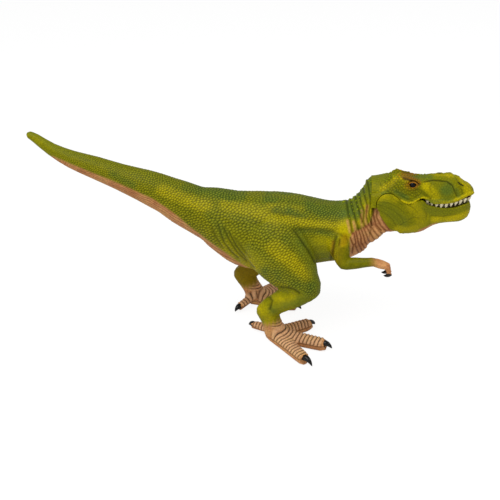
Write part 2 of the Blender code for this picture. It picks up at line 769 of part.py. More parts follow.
def gather(name, pieces):
    """Joins objects into one mesh without changing them."""
    shape = bmesh.new()
    for piece in pieces:
        shape.from_mesh(piece.data)
        bpy.data.objects.remove(piece, do_unlink=True)
    mesh = bpy.data.meshes.new(name)
    shape.to_mesh(mesh)
    shape.free()
    return add_object(name, mesh)


def toe(root, angle, side, length, size, droop):
    """A toe with its claw's place and direction; angle is outwards from straight ahead."""
    ahead = Vector((cos(radians(angle)), side * sin(radians(angle)), 0))
    tip = root + ahead * length - Vector((0, 0, droop))
    aside = Vector((-ahead.y, ahead.x, 0))
    body = bone("toe", root, tip, TOE_BODY_SHARES, TOE_HEIGHT * size, TOE_WIDTH * size, aside)
    seat = tip - ahead * CLAW_LENGTH * CLAW_SEAT_SHARE + Vector((0, 0, TOE_HEIGHT * size * CLAW_LIFT_SHARE))
    return body, seat, ahead


def make_leg(name, side, skin):
    """Thigh, shank, metatarsus and four toes melted together, with a peg into the trunk."""
    hip, knee, hock, foot = leg_joints(side)
    parts = [
        bone("thigh", hip, knee, THIGH_SHARES, THIGH_DEPTH, THIGH_WIDTH, sides=THIGH_SIDES),
        bone("shank", knee, hock, SHANK_SHARES, SHANK_DEPTH, SHANK_WIDTH),
        bone("metatarsus", hock, foot, METATARSUS_SHARES, ANKLE_DEPTH, ANKLE_WIDTH),
    ]
    angles = RIGHT_TOE_ANGLES if side < 0 else LEFT_TOE_ANGLES
    rear_angle = RIGHT_REAR_TOE_ANGLE if side < 0 else LEFT_REAR_TOE_ANGLE
    claws = []
    for angle, reach, size in zip(angles, TOE_LENGTH_SHARES, TOE_SIZE_SHARES):
        root = Vector((foot.x, foot.y, (TOE_HEIGHT / 2 - SOLE_CUT) * size))
        body, seat, ahead = toe(root, angle, side, TOE_LENGTH * reach, size, 0.0)
        parts.append(body)
        claws.append((seat, ahead, 1.0))
    body, seat, ahead = toe(foot, rear_angle, side, TOE_LENGTH * REAR_TOE_LENGTH_SHARE,
                            REAR_TOE_SIZE_SHARE, INSTEP_HEIGHT * REAR_TOE_DROOP_SHARE)
    parts.append(body)
    claws.append((seat, ahead, REAR_CLAW_SHARE))
    leg = blend(gather(name, parts), LEG_SKIN_STEP, LEG_KEEP_SHARE)
    for seat, ahead, size in claws:
        combine(leg, claw("claw", seat, ahead, CLAW_LENGTH * size, CLAW_RADIUS * size), "UNION")
    combine(leg, trunk_skin("trunk skin", SEAM_GAP), "DIFFERENCE")
    combine(leg, leg_peg(side), "UNION")
    reach = TRUNK_LENGTH
    floor = [(-reach, -reach), (reach, -reach), (reach, 0), (-reach, 0)]
    combine(leg, prism("floor", floor, reach), "DIFFERENCE")
    return tidy(leg, skin)


def make_arm(name, side, skin):
    """Upper arm, forearm, hand and two fingers melted together, with a peg into the trunk."""
    shoulder, elbow, wrist, knuckles = arm_joints(side)
    parts = [
        bone("upper arm", shoulder, elbow, UPPER_ARM_SHARES, UPPER_ARM_DEPTH, UPPER_ARM_DEPTH),
        bone("forearm", elbow, wrist, FOREARM_SHARES, FOREARM_DEPTH, FOREARM_DEPTH,
             sides=FOREARM_SIDES),
        bone("hand", wrist, knuckles, HAND_SHARES, FOREARM_DEPTH, FOREARM_DEPTH,
             sides=FOREARM_SIDES),
    ]
    claws = []
    for spread in (-1, 1):
        start = knuckles + Vector((-HAND_CLAW_RADIUS, spread * FINGER_SPREAD / 2, 0))
        end = start + Vector((HAND_CLAW_RADIUS, 0, -FINGER_LENGTH))
        parts.append(bone("finger", start, end, HAND_SHARES, FINGER_SIZE, FINGER_SIZE,
                          sides=FINGER_SIDES))
        claws.append(end + Vector((0, 0, HAND_CLAW_RADIUS)))
    arm = blend(gather(name, parts), ARM_SKIN_STEP, ARM_KEEP_SHARE)
    for root in claws:
        nail = claw("claw", root, HAND_CLAW_DIRECTION_SHARES, HAND_CLAW_LENGTH, HAND_CLAW_RADIUS)
        combine(arm, nail, "UNION")
    combine(arm, trunk_skin("trunk skin", SEAM_GAP), "DIFFERENCE")
    combine(arm, arm_peg(side), "UNION")
    return tidy(arm, skin)


def make_trunk(skin):
    trunk = trunk_skin("trunk")
    combine(trunk, make_throat(), "UNION")
    combine(trunk, neck_peg(), "UNION")
    combine(trunk, tail_peg(SEAM_GAP), "DIFFERENCE", "MANIFOLD")
    for side in (-1, 1):
        combine(trunk, leg_peg(side, SEAM_GAP), "DIFFERENCE")
        combine(trunk, arm_peg(side, SEAM_GAP), "DIFFERENCE")
    return tidy(trunk, skin)


def make_tail(skin):
    """Tapered tail: round sections square to its curved middle line."""
    rows = smooth_rows(TAIL_SHARES, 2)
    middles = []
    for along, rise, deep, wide in rows:
        middles.append(Vector((TAIL_SEAM_X - SEAM_GAP - TAIL_LENGTH * along, 0,
                               TAIL_ROOT_HEIGHT + TAIL_RISE * rise)))
    rings = []
    for spot, (along, rise, deep, wide) in enumerate(rows):
        ahead = middles[min(spot + 1, len(rows) - 1)]
        behind = middles[max(spot - 1, 0)]
        run = (behind - ahead).normalized()
        lean = min(1.0, along / TAIL_TURN_SHARE)
        upwards = Vector((0, 0, 1)).lerp(Vector((-run.z, 0, run.x)), lean).normalized()
        rings.append(oval_ring(middles[spot], Vector((0, 1, 0)), upwards,
                               TAIL_ROOT_WIDTH * wide / 2, TAIL_ROOT_DEPTH * deep / 2))
    last = rows[-1]
    end_run = (middles[-1] - middles[-2]).normalized()
    tip = middles[-1] + end_run * (TAIL_ROOT_DEPTH * last[2] * TAIL_END_SHARE)
    rings.append(oval_ring(tip, Vector((0, 1, 0)), upwards,
                           TAIL_ROOT_WIDTH * last[3] * TAIL_TIP_SHARE / 2,
                           TAIL_ROOT_DEPTH * last[2] * TAIL_TIP_SHARE / 2))
    tail = loft("tail", rings)
    combine(tail, tail_peg(), "UNION")
    return tidy(tail, skin)


def head_place(along, out, up):
    """A point on the head from its shares, on the left side when out is positive."""
    return Vector((TAIL_SEAM_X + TRUNK_LENGTH + HEAD_LENGTH * along, HEAD_WIDTH / 2 * out,
                   HINGE_HEIGHT + HEAD_DEPTH * up))


def around(points, steps):
    """Closed smooth ring through a few points."""
    count = len(points)
    ring = []
    for spot in range(count):
        near = [tuple(points[(spot + offset) % count]) for offset in (-1, 0, 1, 2)]
        ring.extend(Vector(row) for row in between(near, 1, steps))
    return ring


def skull_ring(row):
    """One section of the skull, from the roof round the left side, the underside and the right."""
    along, roof, ridge_up, ridge_out, temple_out, cheek_out = row
    widths = {"ridge": ridge_out, "temple": temple_out, "cheek": cheek_out}
    half = []
    for which, out, of_roof, of_ridge, own in SKULL_POINT_SHARES:
        half.append(head_place(along, widths[which] * out, roof * of_roof + ridge_up * of_ridge + own))
    other = [Vector((point.x, -point.y, point.z)) for point in reversed(half)]
    underside = head_place(along, 0, SKULL_UNDERSIDE_SHARE)
    return around([head_place(along, 0, roof)] + half + [underside] + other, 3)


def ball(name, centre, radii, around_steps=12, up_steps=8):
    """Ellipsoid, for bumps and hollows."""
    mesh = bpy.data.meshes.new(name)
    shape = bmesh.new()
    bmesh.ops.create_uvsphere(shape, u_segments=around_steps, v_segments=up_steps, radius=1)
    bmesh.ops.scale(shape, vec=radii, verts=shape.verts)
    bmesh.ops.translate(shape, vec=centre, verts=shape.verts)
    shape.to_mesh(mesh)
    shape.free()
    return add_object(name, mesh)


def lip_height(x):
    along = (x - TAIL_SEAM_X - TRUNK_LENGTH) / HEAD_LENGTH
    return HINGE_HEIGHT + HEAD_DEPTH * read_table(smooth_rows(LIP_SHARES, 4), along, 1)


def skull_half_width(x, height):
    """Half width of the skull at a place along it and a height."""
    along = (x - TAIL_SEAM_X - TRUNK_LENGTH) / HEAD_LENGTH
    rows = smooth_rows(SKULL_SHARES, 2)
    ring = skull_ring([along] + [read_table(rows, along, column) for column in range(1, 6)])
    widest = 0.0
    for low, high in zip(ring, ring[1:] + ring[:1]):
        if (low.z - height) * (high.z - height) < 0:
            part = (height - low.z) / (high.z - low.z)
            widest = max(widest, low.y + part * (high.y - low.y))
    return widest


def lip_half_width(x):
    """Half width of the head over the height of the gum strip."""
    low = lip_height(x)
    return min(skull_half_width(x, low), skull_half_width(x, low + GUM_HEIGHT))


def jaw_back():
    return hinge_x() - KNUCKLE_RADIUS


def jaw_top(x):
    along = (x - jaw_back()) / JAW_LENGTH
    return HINGE_HEIGHT + JAW_DEPTH * read_table(smooth_rows(JAW_TOP_SHARES, 3), along, 1)


def jaw_half_width(x):
    """Half width of the jaw's outside."""
    along = (x - jaw_back()) / JAW_LENGTH
    return JAW_WIDTH / 2 * read_table(smooth_rows(JAW_SECTION_SHARES, 3), along, 1)


def jaw_inside(x):
    """Half width of the jaw's hollow, which also clears the head's core and the throat."""
    return min(CORE_WIDTH / 2 + RUNNING_GAP, jaw_half_width(x) - JAW_WALL)


def jaw_bottom(x):
    """Height of the jaw's underside, kept low behind its lowest point."""
    rows = [row for row in smooth_rows(JAW_BOTTOM_SHARES, 2) if row[0] > JAW_LOWEST_SHARE]
    return HINGE_HEIGHT + JAW_DEPTH * read_table(rows, (x - jaw_back()) / JAW_LENGTH, 1)


def jaw_floor(x):
    return jaw_bottom(x) + JAW_WALL


def lower_gum_half_width(x):
    return jaw_inside(x) - SEAM_GAP - GUM_WIDTH / 2


def upper_gum_half_width(x):
    return lip_half_width(x) - LIP_WALL - SEAM_GAP - GUM_WIDTH / 2


def stretched(radius, shares):
    return [radius * share for share in shares]


def make_brow(side):
    """Ridge over the eye with a small horn at its back end."""
    rings = []
    for along, out, up, size in smooth_rows(BROW_SHARES, 2):
        rings.append(oval_ring(head_place(along, side * out, up), Vector((0, 1, 0)), Vector((0, 0, 1)),
                               BROW_RADIUS * size, BROW_RADIUS * size, sides=BROW_SIDES))
    along, out, up, size = BROW_SHARES[0]
    horn = ball("horn", head_place(along, side * out, up), stretched(HORN_HEIGHT, HORN_STRETCH_SHARES))
    return [loft("brow", rings), horn]


def make_skull():
    """Skull, brows, horns and nose bosses melted into one skin, then eyes, nostrils and hollows."""
    parts = [loft("skull", [skull_ring(row) for row in smooth_rows(SKULL_SHARES, 2)])]
    for along, out, up, size in NOSE_BOSS_SHARES:
        radii = stretched(NOSE_BOSS_RADIUS * size, BOSS_STRETCH_SHARES)
        parts.append(ball("nose boss", head_place(along, out, up), radii))
    for side in (-1, 1):
        parts.extend(make_brow(side))
    skull = blend(gather("head", parts), HEAD_SKIN_STEP, HEAD_KEEP_SHARE)
    hollow_size = [size * share for size, share in
                   zip((HEAD_LENGTH, HEAD_WIDTH / 2, HEAD_DEPTH), CHEEK_HOLLOW_SIZE_SHARES)]
    for side in (-1, 1):
        along, out, up = CHEEK_HOLLOW_SHARES
        hollow = ball("cheek hollow", head_place(along, side * out, up), hollow_size)
        combine(skull, hollow, "DIFFERENCE")
        along, out, up = NOSTRIL_SHARES
        radii = stretched(NOSTRIL_RADIUS, NOSTRIL_STRETCH_SHARES)
        combine(skull, ball("nostril", head_place(along, side * out, up), radii), "DIFFERENCE")
        along, out, up = EYE_SHARES
        eye = ball("eye", head_place(along, side * out, up), [EYE_RADIUS] * 3)
        combine(skull, eye, "UNION")
    return skull


def head_outline():
    """Side outline that cuts the skull: round the jaw's knuckle, along the lip and over the top."""
    back = TAIL_SEAM_X + TRUNK_LENGTH + SEAM_GAP
    front = back + HEAD_LENGTH + CUT_OVERRUN
    top = HINGE_HEIGHT + HEAD_DEPTH * 2
    arc = hinge_arc(KNUCKLE_RADIUS + RUNNING_GAP, KNUCKLE_BACK_ANGLE, KNUCKLE_FRONT_ANGLE, 14)
    lip = []
    for along, up in smooth_rows(LIP_SHARES, 3):
        point = head_place(along, 0, up)
        lip.append((point.x, point.z))
    return [(back, arc[0][1])] + arc + lip + [(front, lip[-1][1]), (front, top), (back, top)]


def gum_nose(end, half_width, grow):
    """Place along and half width of a rounded row of teeth in front of its straight part."""
    places = []
    for step in range(1, NOSE_STEPS):
        angle = pi / 2 * (1 - step / NOSE_STEPS)
        places.append((end + (half_width * GUM_NOSE_SHARE + grow) * cos(angle),
                       (half_width + grow) * sin(angle)))
    return places


def make_palate():
    """Cutter for the roof of the mouth, which leaves room for the upper gum strip."""
    start, end = [head_place(share, 0, 0).x for share in UPPER_GUM_SHARES]
    places = []
    for step in range(9):
        x = start - CUT_OVERRUN / 2 + (end - start + CUT_OVERRUN / 2) * step / 8
        places.append((x, lip_half_width(x) - LIP_WALL))
    places.extend(gum_nose(end, upper_gum_half_width(end), GUM_WIDTH / 2 + SEAM_GAP))
    rings = []
    for x, half_width in places:
        rings.append(oval_ring(Vector((x, 0, lip_height(x))), Vector((0, 1, 0)), Vector((0, 0, 1)),
                               half_width, PALATE_RISE, PALATE_SQUARENESS))
    return loft("palate", rings)


def make_core():
    """Block inside the head that stands between the jaw's knuckles and carries their pin."""
    back = TAIL_SEAM_X + TRUNK_LENGTH + SEAM_GAP
    low = HINGE_HEIGHT - CORE_DROP
    high = HINGE_HEIGHT + KNUCKLE_RADIUS + RUNNING_GAP * 2
    front = hinge_x() + KNUCKLE_RADIUS
    outline = [(back, low), (front - CORE_DROP, low), (front, HINGE_HEIGHT), (front, high), (back, high)]
    return prism("core", outline, CORE_WIDTH / 2)


def make_head(skin):
    """Skull and upper jaw, cut to the lip line, with a core that carries the jaw's pin."""
    head = make_skull()
    combine(head, prism("head side", head_outline(), HEAD_WIDTH), "INTERSECT")
    combine(head, make_palate(), "DIFFERENCE")
    combine(head, make_core(), "UNION")
    combine(head, neck_peg(SEAM_GAP), "DIFFERENCE")
    combine(head, pin_hole(), "DIFFERENCE")
    return tidy(head, skin)


def make_lower_jaw(skin):
    """Scoop of the lower jaw: cheeks with knuckles on the pin, and a floor in front of the throat."""
    outer = []
    hollow = []
    top = HINGE_HEIGHT + KNUCKLE_RADIUS + CUT_OVERRUN
    across, upwards = Vector((0, 1, 0)), Vector((0, 0, 1))
    for along, out in smooth_rows(JAW_SECTION_SHARES, 2):
        x = jaw_back() + JAW_LENGTH * along
        bottom = jaw_bottom(x)
        middle = Vector((x, 0, (top + bottom) / 2))
        outer.append(oval_ring(middle, across, upwards, jaw_half_width(x), (top - bottom) / 2,
                               JAW_SQUARENESS))
        if along <= JAW_HOLLOW_END_SHARE:
            middle = Vector((x, 0, (top + CUT_OVERRUN + jaw_floor(x)) / 2))
            hollow.append(oval_ring(middle, across, upwards, jaw_inside(x),
                                    (top + CUT_OVERRUN - jaw_floor(x)) / 2, JAW_HOLLOW_SQUARENESS))
    jaw = loft("lower_jaw", outer)
    arc_start = KNUCKLE_BACK_ANGLE + JAW_OPENING + SWEEP_MARGIN
    side = hinge_arc(KNUCKLE_RADIUS, arc_start, KNUCKLE_FRONT_ANGLE, 12)
    for along, up in smooth_rows(JAW_TOP_SHARES, 3) + list(reversed(smooth_rows(JAW_BOTTOM_SHARES, 2))):
        side.append((jaw_back() + JAW_LENGTH * along, HINGE_HEIGHT + JAW_DEPTH * up))
    combine(jaw, prism("jaw side", side, JAW_WIDTH), "INTERSECT")
    combine(jaw, loft("jaw hollow", hollow), "DIFFERENCE")
    reach = JAW_DEPTH * 2
    behind = [(hinge_x(), HINGE_HEIGHT), (hinge_x(), HINGE_HEIGHT + reach),
              (hinge_x() - reach, HINGE_HEIGHT + reach), (hinge_x() - reach, HINGE_HEIGHT - reach),
              (hinge_x(), HINGE_HEIGHT - reach), around_hinge(reach, JAW_FLOOR_ANGLE)]
    combine(jaw, prism("throat room", behind, jaw_inside(hinge_x())), "DIFFERENCE")
    combine(jaw, pin_hole(), "DIFFERENCE")
    return tidy(jaw, skin)


def gum_path(half_width, height, start, end):
    """Points round the front of a jaw, from one corner of the mouth to the other."""
    straight = [start + (end - start) * step / GUM_STEPS for step in range(GUM_STEPS + 1)]
    right = [Vector((x, -half_width(x), height(x))) for x in straight]
    nose = [Vector((x, -out, height(end))) for x, out in gum_nose(end, half_width(end), 0.0)]
    left = [Vector((point.x, -point.y, point.z)) for point in reversed(right + nose)]
    tip = Vector((end + half_width(end) * GUM_NOSE_SHARE, 0, height(end)))
    return right + nose + [tip] + left


def tooth_places(path):
    """Evenly spaced places along a path, as many as its length holds on each side."""
    runs = [(after - point).length for point, after in zip(path, path[1:])]
    count = 2 * int(sum(runs) / 2 / (TOOTH_RADIUS * 2 + TOOTH_GAP))
    places = []
    walked = 0.0
    for point, after, run in zip(path, path[1:], runs):
        while len(places) < count:
            wanted = sum(runs) * (len(places) + 0.5) / count
            if wanted > walked + run:
                break
            places.append(point.lerp(after, (wanted - walked) / run))
        walked += run
    return places


def teeth_row(name, path, lengths, rise, material):
    """Gum strip with teeth evenly along its path; rise is 1 up or -1 down."""
    rings = []
    for spot, point in enumerate(path):
        run = (path[min(spot + 1, len(path) - 1)] - path[max(spot - 1, 0)]).normalized()
        across = Vector((-run.y, run.x, 0)).normalized() * (GUM_WIDTH / 2)
        upwards = Vector((0, 0, GUM_HEIGHT / 2))
        middle = point - upwards * rise
        rings.append([middle - across - upwards, middle + across - upwards,
                      middle + across + upwards, middle - across + upwards])
    row = loft(name, rings)
    for foot in tooth_places(path):
        tall = lengths(foot.x)
        rings = []
        for share, size in TOOTH_SHARES:
            hook = TOOTH_RADIUS * TOOTH_HOOK_SHARE * max(share, 0) ** 2
            middle = foot + Vector((-hook, 0, rise * tall * share))
            rings.append(oval_ring(middle, Vector((1, 0, 0)), Vector((0, 1, 0)), TOOTH_RADIUS * size,
                                   TOOTH_RADIUS * size * TOOTH_FLATNESS_SHARE, sides=TOOTH_SIDES))
        combine(row, loft("tooth", rings), "UNION", "MANIFOLD")
    return tidy(row, material)


def make_upper_teeth(material):
    start, end = [head_place(share, 0, 0).x for share in UPPER_GUM_SHARES]

    def length(x):
        return min(TOOTH_HEIGHT, lip_height(x) - jaw_top(x) - RUNNING_GAP)

    path = gum_path(upper_gum_half_width, lip_height, start, end)
    return teeth_row("upper_teeth", path, length, -1, material)


def make_lower_teeth(material):
    start, end = [jaw_back() + JAW_LENGTH * share for share in LOWER_GUM_SHARES]

    def height(x):
        return jaw_top(x) - SEAM_GAP

    def length(x):
        return TOOTH_HEIGHT * LOWER_TOOTH_SHARE

    path = gum_path(lower_gum_half_width, height, start, end)
    return teeth_row("lower_teeth", path, length, 1, material)


def make_tongue(material):
    """Tongue lying along the jaw's floor."""
    rings = []
    for along, wide, deep in smooth_rows(TONGUE_SHARES, 3):
        x = jaw_back() + JAW_LENGTH * TONGUE_START_SHARE + TONGUE_LENGTH * along
        middle = Vector((x, 0, jaw_floor(x) + RUNNING_GAP + TONGUE_DEPTH * deep / 2))
        rings.append(oval_ring(middle, Vector((0, 1, 0)), Vector((0, 0, 1)),
                               TONGUE_WIDTH * wide / 2, TONGUE_DEPTH * deep / 2,
                               TONGUE_SQUARENESS, TONGUE_SIDES))
    return tidy(loft("tongue", rings), material)


def make_pin(material):
    pin = cylinder("jaw_pin", (hinge_x(), HINGE_HEIGHT), PIN_RADIUS, -PIN_LENGTH / 2, PIN_LENGTH / 2)
    return tidy(pin, material)


def bounds(pieces):
    bpy.context.view_layer.update()
    points = [piece.matrix_world @ vertex.co for piece in pieces for vertex in piece.data.vertices]
    low = Vector([min(point[axis] for point in points) for axis in range(3)])
    high = Vector([max(point[axis] for point in points) for axis in range(3)])
    return low, high


def move_origin(piece, place):
    """Puts an object's origin at a place without moving its shape."""
    piece.data.transform(Matrix.Translation(-place))
    piece.location = place


def main():
    clear_scene()
    skin = make_material("skin_green")
    ivory = make_material("tooth_ivory")
    pink = make_material("mouth_pink")
    steel = make_material("pin_steel")

    fixed = [
        make_trunk(skin),
        make_tail(skin),
        make_head(skin),
        make_upper_teeth(ivory),
        make_pin(steel),
        make_leg("right_leg", -1, skin),
        make_leg("left_leg", 1, skin),
        make_arm("right_arm", -1, skin),
        make_arm("left_arm", 1, skin),
    ]
    moving = [
        make_lower_jaw(skin),
        make_lower_teeth(ivory),
        make_tongue(pink),
    ]

    # The whole figure is centred over its soles, and the jaw hangs on an empty on its hinge.
    low, high = bounds(fixed + moving)
    figure = bpy.data.objects.new("figure", None)
    figure.location = (-(low.x + high.x) / 2, -(low.y + high.y) / 2, 0)
    bpy.context.scene.collection.objects.link(figure)
    hinge = bpy.data.objects.new("jaw_hinge", None)
    hinge.location = (hinge_x(), 0, HINGE_HEIGHT)
    hinge.parent = figure
    bpy.context.scene.collection.objects.link(hinge)
    for piece in fixed:
        piece.parent = figure
    for piece in moving:
        move_origin(piece, hinge.location.copy())
        piece.location = (0, 0, 0)
        piece.parent = hinge
    bpy.context.view_layer.update()
    place = hinge.matrix_world.translation
    print("jaw hinge at", [round(value, 6) for value in place], "opens", JAW_OPENING, "degrees")
    for label, side in (("right", -1), ("left", 1)):
        foot = figure.matrix_world @ leg_joints(side)[3]
        print(label, "foot over", round(foot.x, 6), round(foot.y, 6))
    print("size", [round(value, 5) for value in high - low])


main()
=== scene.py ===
import bpy
import bmesh
import math
import numpy as np
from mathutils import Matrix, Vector, kdtree


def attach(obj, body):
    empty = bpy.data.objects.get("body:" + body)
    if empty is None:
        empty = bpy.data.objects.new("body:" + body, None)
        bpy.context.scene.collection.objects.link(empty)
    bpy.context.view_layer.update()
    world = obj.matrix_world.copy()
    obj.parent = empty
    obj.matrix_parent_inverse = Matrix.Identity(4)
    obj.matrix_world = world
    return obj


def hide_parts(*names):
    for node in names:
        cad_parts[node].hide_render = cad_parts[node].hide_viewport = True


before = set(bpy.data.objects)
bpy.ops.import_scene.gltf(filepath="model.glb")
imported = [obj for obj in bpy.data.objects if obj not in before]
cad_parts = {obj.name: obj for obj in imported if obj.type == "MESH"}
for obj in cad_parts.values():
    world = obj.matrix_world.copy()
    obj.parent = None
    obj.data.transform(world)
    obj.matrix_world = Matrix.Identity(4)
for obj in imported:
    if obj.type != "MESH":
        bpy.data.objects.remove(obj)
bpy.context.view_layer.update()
print("stage: frame loaded")

midY = -0.003386          # the figure's middle plane
seamX = -0.0283           # where the tail leaves the trunk
waistX = 0.0200           # where the rear of the body is cut from the front
chestX = 0.0500           # where the belly's part is cut from the neck's and the arms'
kneeCutZ = 0.0400         # below this height each leg is a finer piece of its own
jawHinge = (0.0875, 0.0998)
stride = 0.0170           # how far the left leg stands behind the right one
millimetre = 0.001
farAway = 1e9

# the camera, and the side of its square picture in pixels
camera = {"elevation": 29.0, "azimuth": 6.0, "distance": 0.546, "lens": 60.02, "sensor": 36.0,
          "target": (0.0017, -0.003386, 0.05674), "side": 500}


def ramp(low, high, values):
    # a smooth step from 0 at low to 1 at high
    part = np.clip((values - low) / (high - low), 0.0, 1.0)
    return part * part * (3 - 2 * part)


def fall(low, high, values):
    return 1 - ramp(low, high, values)


def sideOf(co):
    return np.abs(co[:, 1] - midY)


def toLinear(code):
    channels = [int(code[spot:spot + 2], 16) / 255 for spot in (1, 3, 5)]
    return tuple(c / 12.92 if c <= 0.04045 else ((c + 0.055) / 1.055) ** 2.4 for c in channels) + (1.0,)


def addObject(name, data, material=None):
    made = bpy.data.objects.new(name, data)
    bpy.context.scene.collection.objects.link(made)
    if material:
        data.materials.clear()
        data.materials.append(material)
    return made


def settled(made):
    # the modifiers' result as a plain mesh
    bpy.context.view_layer.update()
    graph = bpy.context.evaluated_depsgraph_get()
    mesh = bpy.data.meshes.new_from_object(made.evaluated_get(graph))
    made.modifiers.clear()
    made.data = mesh
    return made


def finishPiece(made, material, rider, slot, *nodes):
    made.data.materials.clear()
    made.data.materials.append(material)
    if nodes:
        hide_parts(*nodes)
    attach(made, rider)
    print("piece", made.name, len(made.data.polygons), "faces")


def readField(items, name, width, kind=float):
    values = np.empty(len(items) * width, kind)
    items.foreach_get(name, values)
    return values.reshape(-1, width)


def readCo(mesh):
    return readField(mesh.vertices, "co", 3)


def readNormals(mesh):
    return readField(mesh.vertex_normals, "vector", 3)


def readEdges(mesh):
    return readField(mesh.edges, "vertices", 2, np.int32)


def writeCo(mesh, co):
    mesh.vertices.foreach_set("co", np.ascontiguousarray(co).ravel())
    mesh.update()


def reshape(mesh, edit):
    shape = bmesh.new()
    shape.from_mesh(mesh)
    edit(shape)
    shape.to_mesh(mesh)
    shape.free()


def neighbourMean(values, edges, counts):
    mean = np.empty_like(values)
    for axis in range(values.shape[1]):
        column = values[:, axis]
        mean[:, axis] = np.bincount(edges[:, 0], column[edges[:, 1]], len(column))
        mean[:, axis] += np.bincount(edges[:, 1], column[edges[:, 0]], len(column))
    return mean / counts[:, None]


def smoothSkin(mesh, rounds, pulls, share=None):
    # pulls of 0.5 and -0.52 keep the volume; a share for each point keeps the smoothing to a zone
    co, edges = readCo(mesh), readEdges(mesh)
    counts = np.bincount(edges.ravel(), minlength=len(co))
    weight = 1.0 if share is None else share[:, None]
    for pull in pulls * rounds:
        co += pull * weight * (neighbourMean(co, edges, counts) - co)
    writeCo(mesh, co)


def keepLargest(mesh):
    edges = readEdges(mesh)
    labels, before = np.arange(len(mesh.vertices)), None
    while before is None or (labels != before).any():
        before = labels.copy()
        low = np.minimum(labels[edges[:, 0]], labels[edges[:, 1]])
        np.minimum.at(labels, edges[:, 0], low)
        np.minimum.at(labels, edges[:, 1], low)
        labels = labels[labels]
    keep = np.bincount(labels).argmax()
    if (labels != keep).any():
        reshape(mesh, lambda shape: bmesh.ops.delete(shape, context="VERTS", geom=[
            vert for vert, label in zip(shape.verts, labels) if label != keep]))


def castSkin(name, nodeNames, voxel, grow, rounds):
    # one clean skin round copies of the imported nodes
    def swell(part):
        bmesh.ops.remove_doubles(part, verts=part.verts, dist=0.000002)
        part.normal_update()
        for vert in part.verts:
            vert.co += vert.normal * grow

    def gather(shape):
        for nodeName in nodeNames:
            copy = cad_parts[nodeName].data.copy()
            reshape(copy, swell)
            shape.from_mesh(copy)
            bpy.data.meshes.remove(copy)

    mesh = bpy.data.meshes.new(name)
    reshape(mesh, gather)
    made = addObject(name, mesh)
    step = made.modifiers.new("cast", "REMESH")
    step.mode = "VOXEL"
    step.voxel_size = voxel
    settled(made)
    keepLargest(made.data)
    smoothSkin(made.data, rounds, (0.5, -0.52))
    return made


def cameraAxes():
    e, a = math.radians(camera["elevation"]), math.radians(camera["azimuth"])
    back = np.array([math.sin(a) * math.cos(e), -math.cos(a) * math.cos(e), math.sin(e)])
    right = np.array([math.cos(a), math.sin(a), 0.0])
    return back, right, np.cross(right, -back)


def photoSpots(co):
    # where the camera sees each point, once the far side is mirrored to the near one
    back, right, up = cameraAxes()
    near = co.copy()
    near[:, 1] = midY - sideOf(co)
    near[:, 0] += stride * (co[:, 1] > midY + 0.006) * fall(0.040, 0.066, co[:, 2])
    away = near - (np.array(camera["target"]) + back * camera["distance"])
    depth = -(away @ back)
    focal = camera["lens"] / camera["sensor"] * camera["side"]
    half = camera["side"] / 2
    return np.stack([half + focal * (away @ right) / depth, half - focal * (away @ up) / depth], 1)


def facing(co, normals):
    near = normals.copy()
    near[:, 1] = np.where(co[:, 1] > midY, -normals[:, 1], normals[:, 1])
    return near @ cameraAxes()[0]


def lineDistance(spots, points):
    best = np.full(len(spots), farAway)
    for start, end in zip(points, points[1:]):
        run = np.subtract(end, start)
        away = spots - start
        part = np.clip((away @ run) / (run @ run), 0, 1)
        best = np.minimum(best, np.hypot(*(away - part[:, None] * run).T))
    return best


def insideShape(spots, points):
    inside = np.zeros(len(spots), bool)
    for (ax, ay), (bx, by) in zip(points, points[1:] + points[:1]):
        if ay != by:
            crossing = (ay > spots[:, 1]) != (by > spots[:, 1])
            inside ^= crossing & (spots[:, 0] < (bx - ax) * (spots[:, 1] - ay) / (by - ay) + ax)
    return inside


def brushMask(spots, width, soft, points):
    # width 0 fills the outline through the points, a pair of widths makes an oval spot, and the rest are lines
    if width == 0:
        far = lineDistance(spots, points + points[:1])
        return ramp(-soft, soft, np.where(insideShape(spots, points), far, -far))
    if len(points) == 1:
        (x, y), (wide, tall) = points[0], width
        return fall(1 - soft, 1 + soft, np.hypot((spots[:, 0] - x) / wide, (spots[:, 1] - y) / tall))
    return fall(width - soft / 2, width + soft, lineDistance(spots, points))


def layBrushes(spots, weight, brushes, channels):
    # each channel has its brushes: width, soft, strength, points
    for channel, strokes in brushes.items():
        for width, soft, strength, points in strokes:
            mask = brushMask(spots, width, soft, points) * weight * strength
            channels[channel] = 1 - (1 - channels[channel]) * (1 - mask)


def carve(spots, weight, folds, height, washAndShade):
    # folds of one kind share a height in mm and a width; the hollow ones take the dark wash, which also stands for
    # painted shade in the fold
    for rise, width, lines in folds:
        for points in lines:
            mask = np.exp(-(lineDistance(spots, points) / width) ** 2) * weight
            height += rise * millimetre * mask
            if rise < 0:
                np.maximum(washAndShade, mask * min(1.0, -rise * 2.4), out=washAndShade)


# masks that the paint reads, three to a layer: among them a dark wash that is also painted shade, lighter tops that
# are painted highlight and wear, rust-brown that is partly painted shade, and dark lines of painted shade
maskLayers = {"paintA": ("bright", "dark", "tan"), "paintB": ("rustAndShade", "washAndShade", "foot"),
              "paintC": ("creaseShade", "mouth", "wornAndHighlight")}


def newChannels(count):
    return {name: np.zeros(count) for columns in maskLayers.values() for name in columns}


def lift(channels, name, values):
    channels[name] = np.maximum(channels[name], values)


def storeMasks(mesh, channels):
    for name, columns in maskLayers.items():
        layer = mesh.attributes.new(name, "FLOAT_COLOR", "POINT")
        values = np.ones((len(mesh.vertices), 4), np.float32)
        for spot, column in enumerate(columns):
            values[:, spot] = np.clip(channels[column], 0, 1)
        layer.data.foreach_set("color", values.ravel())


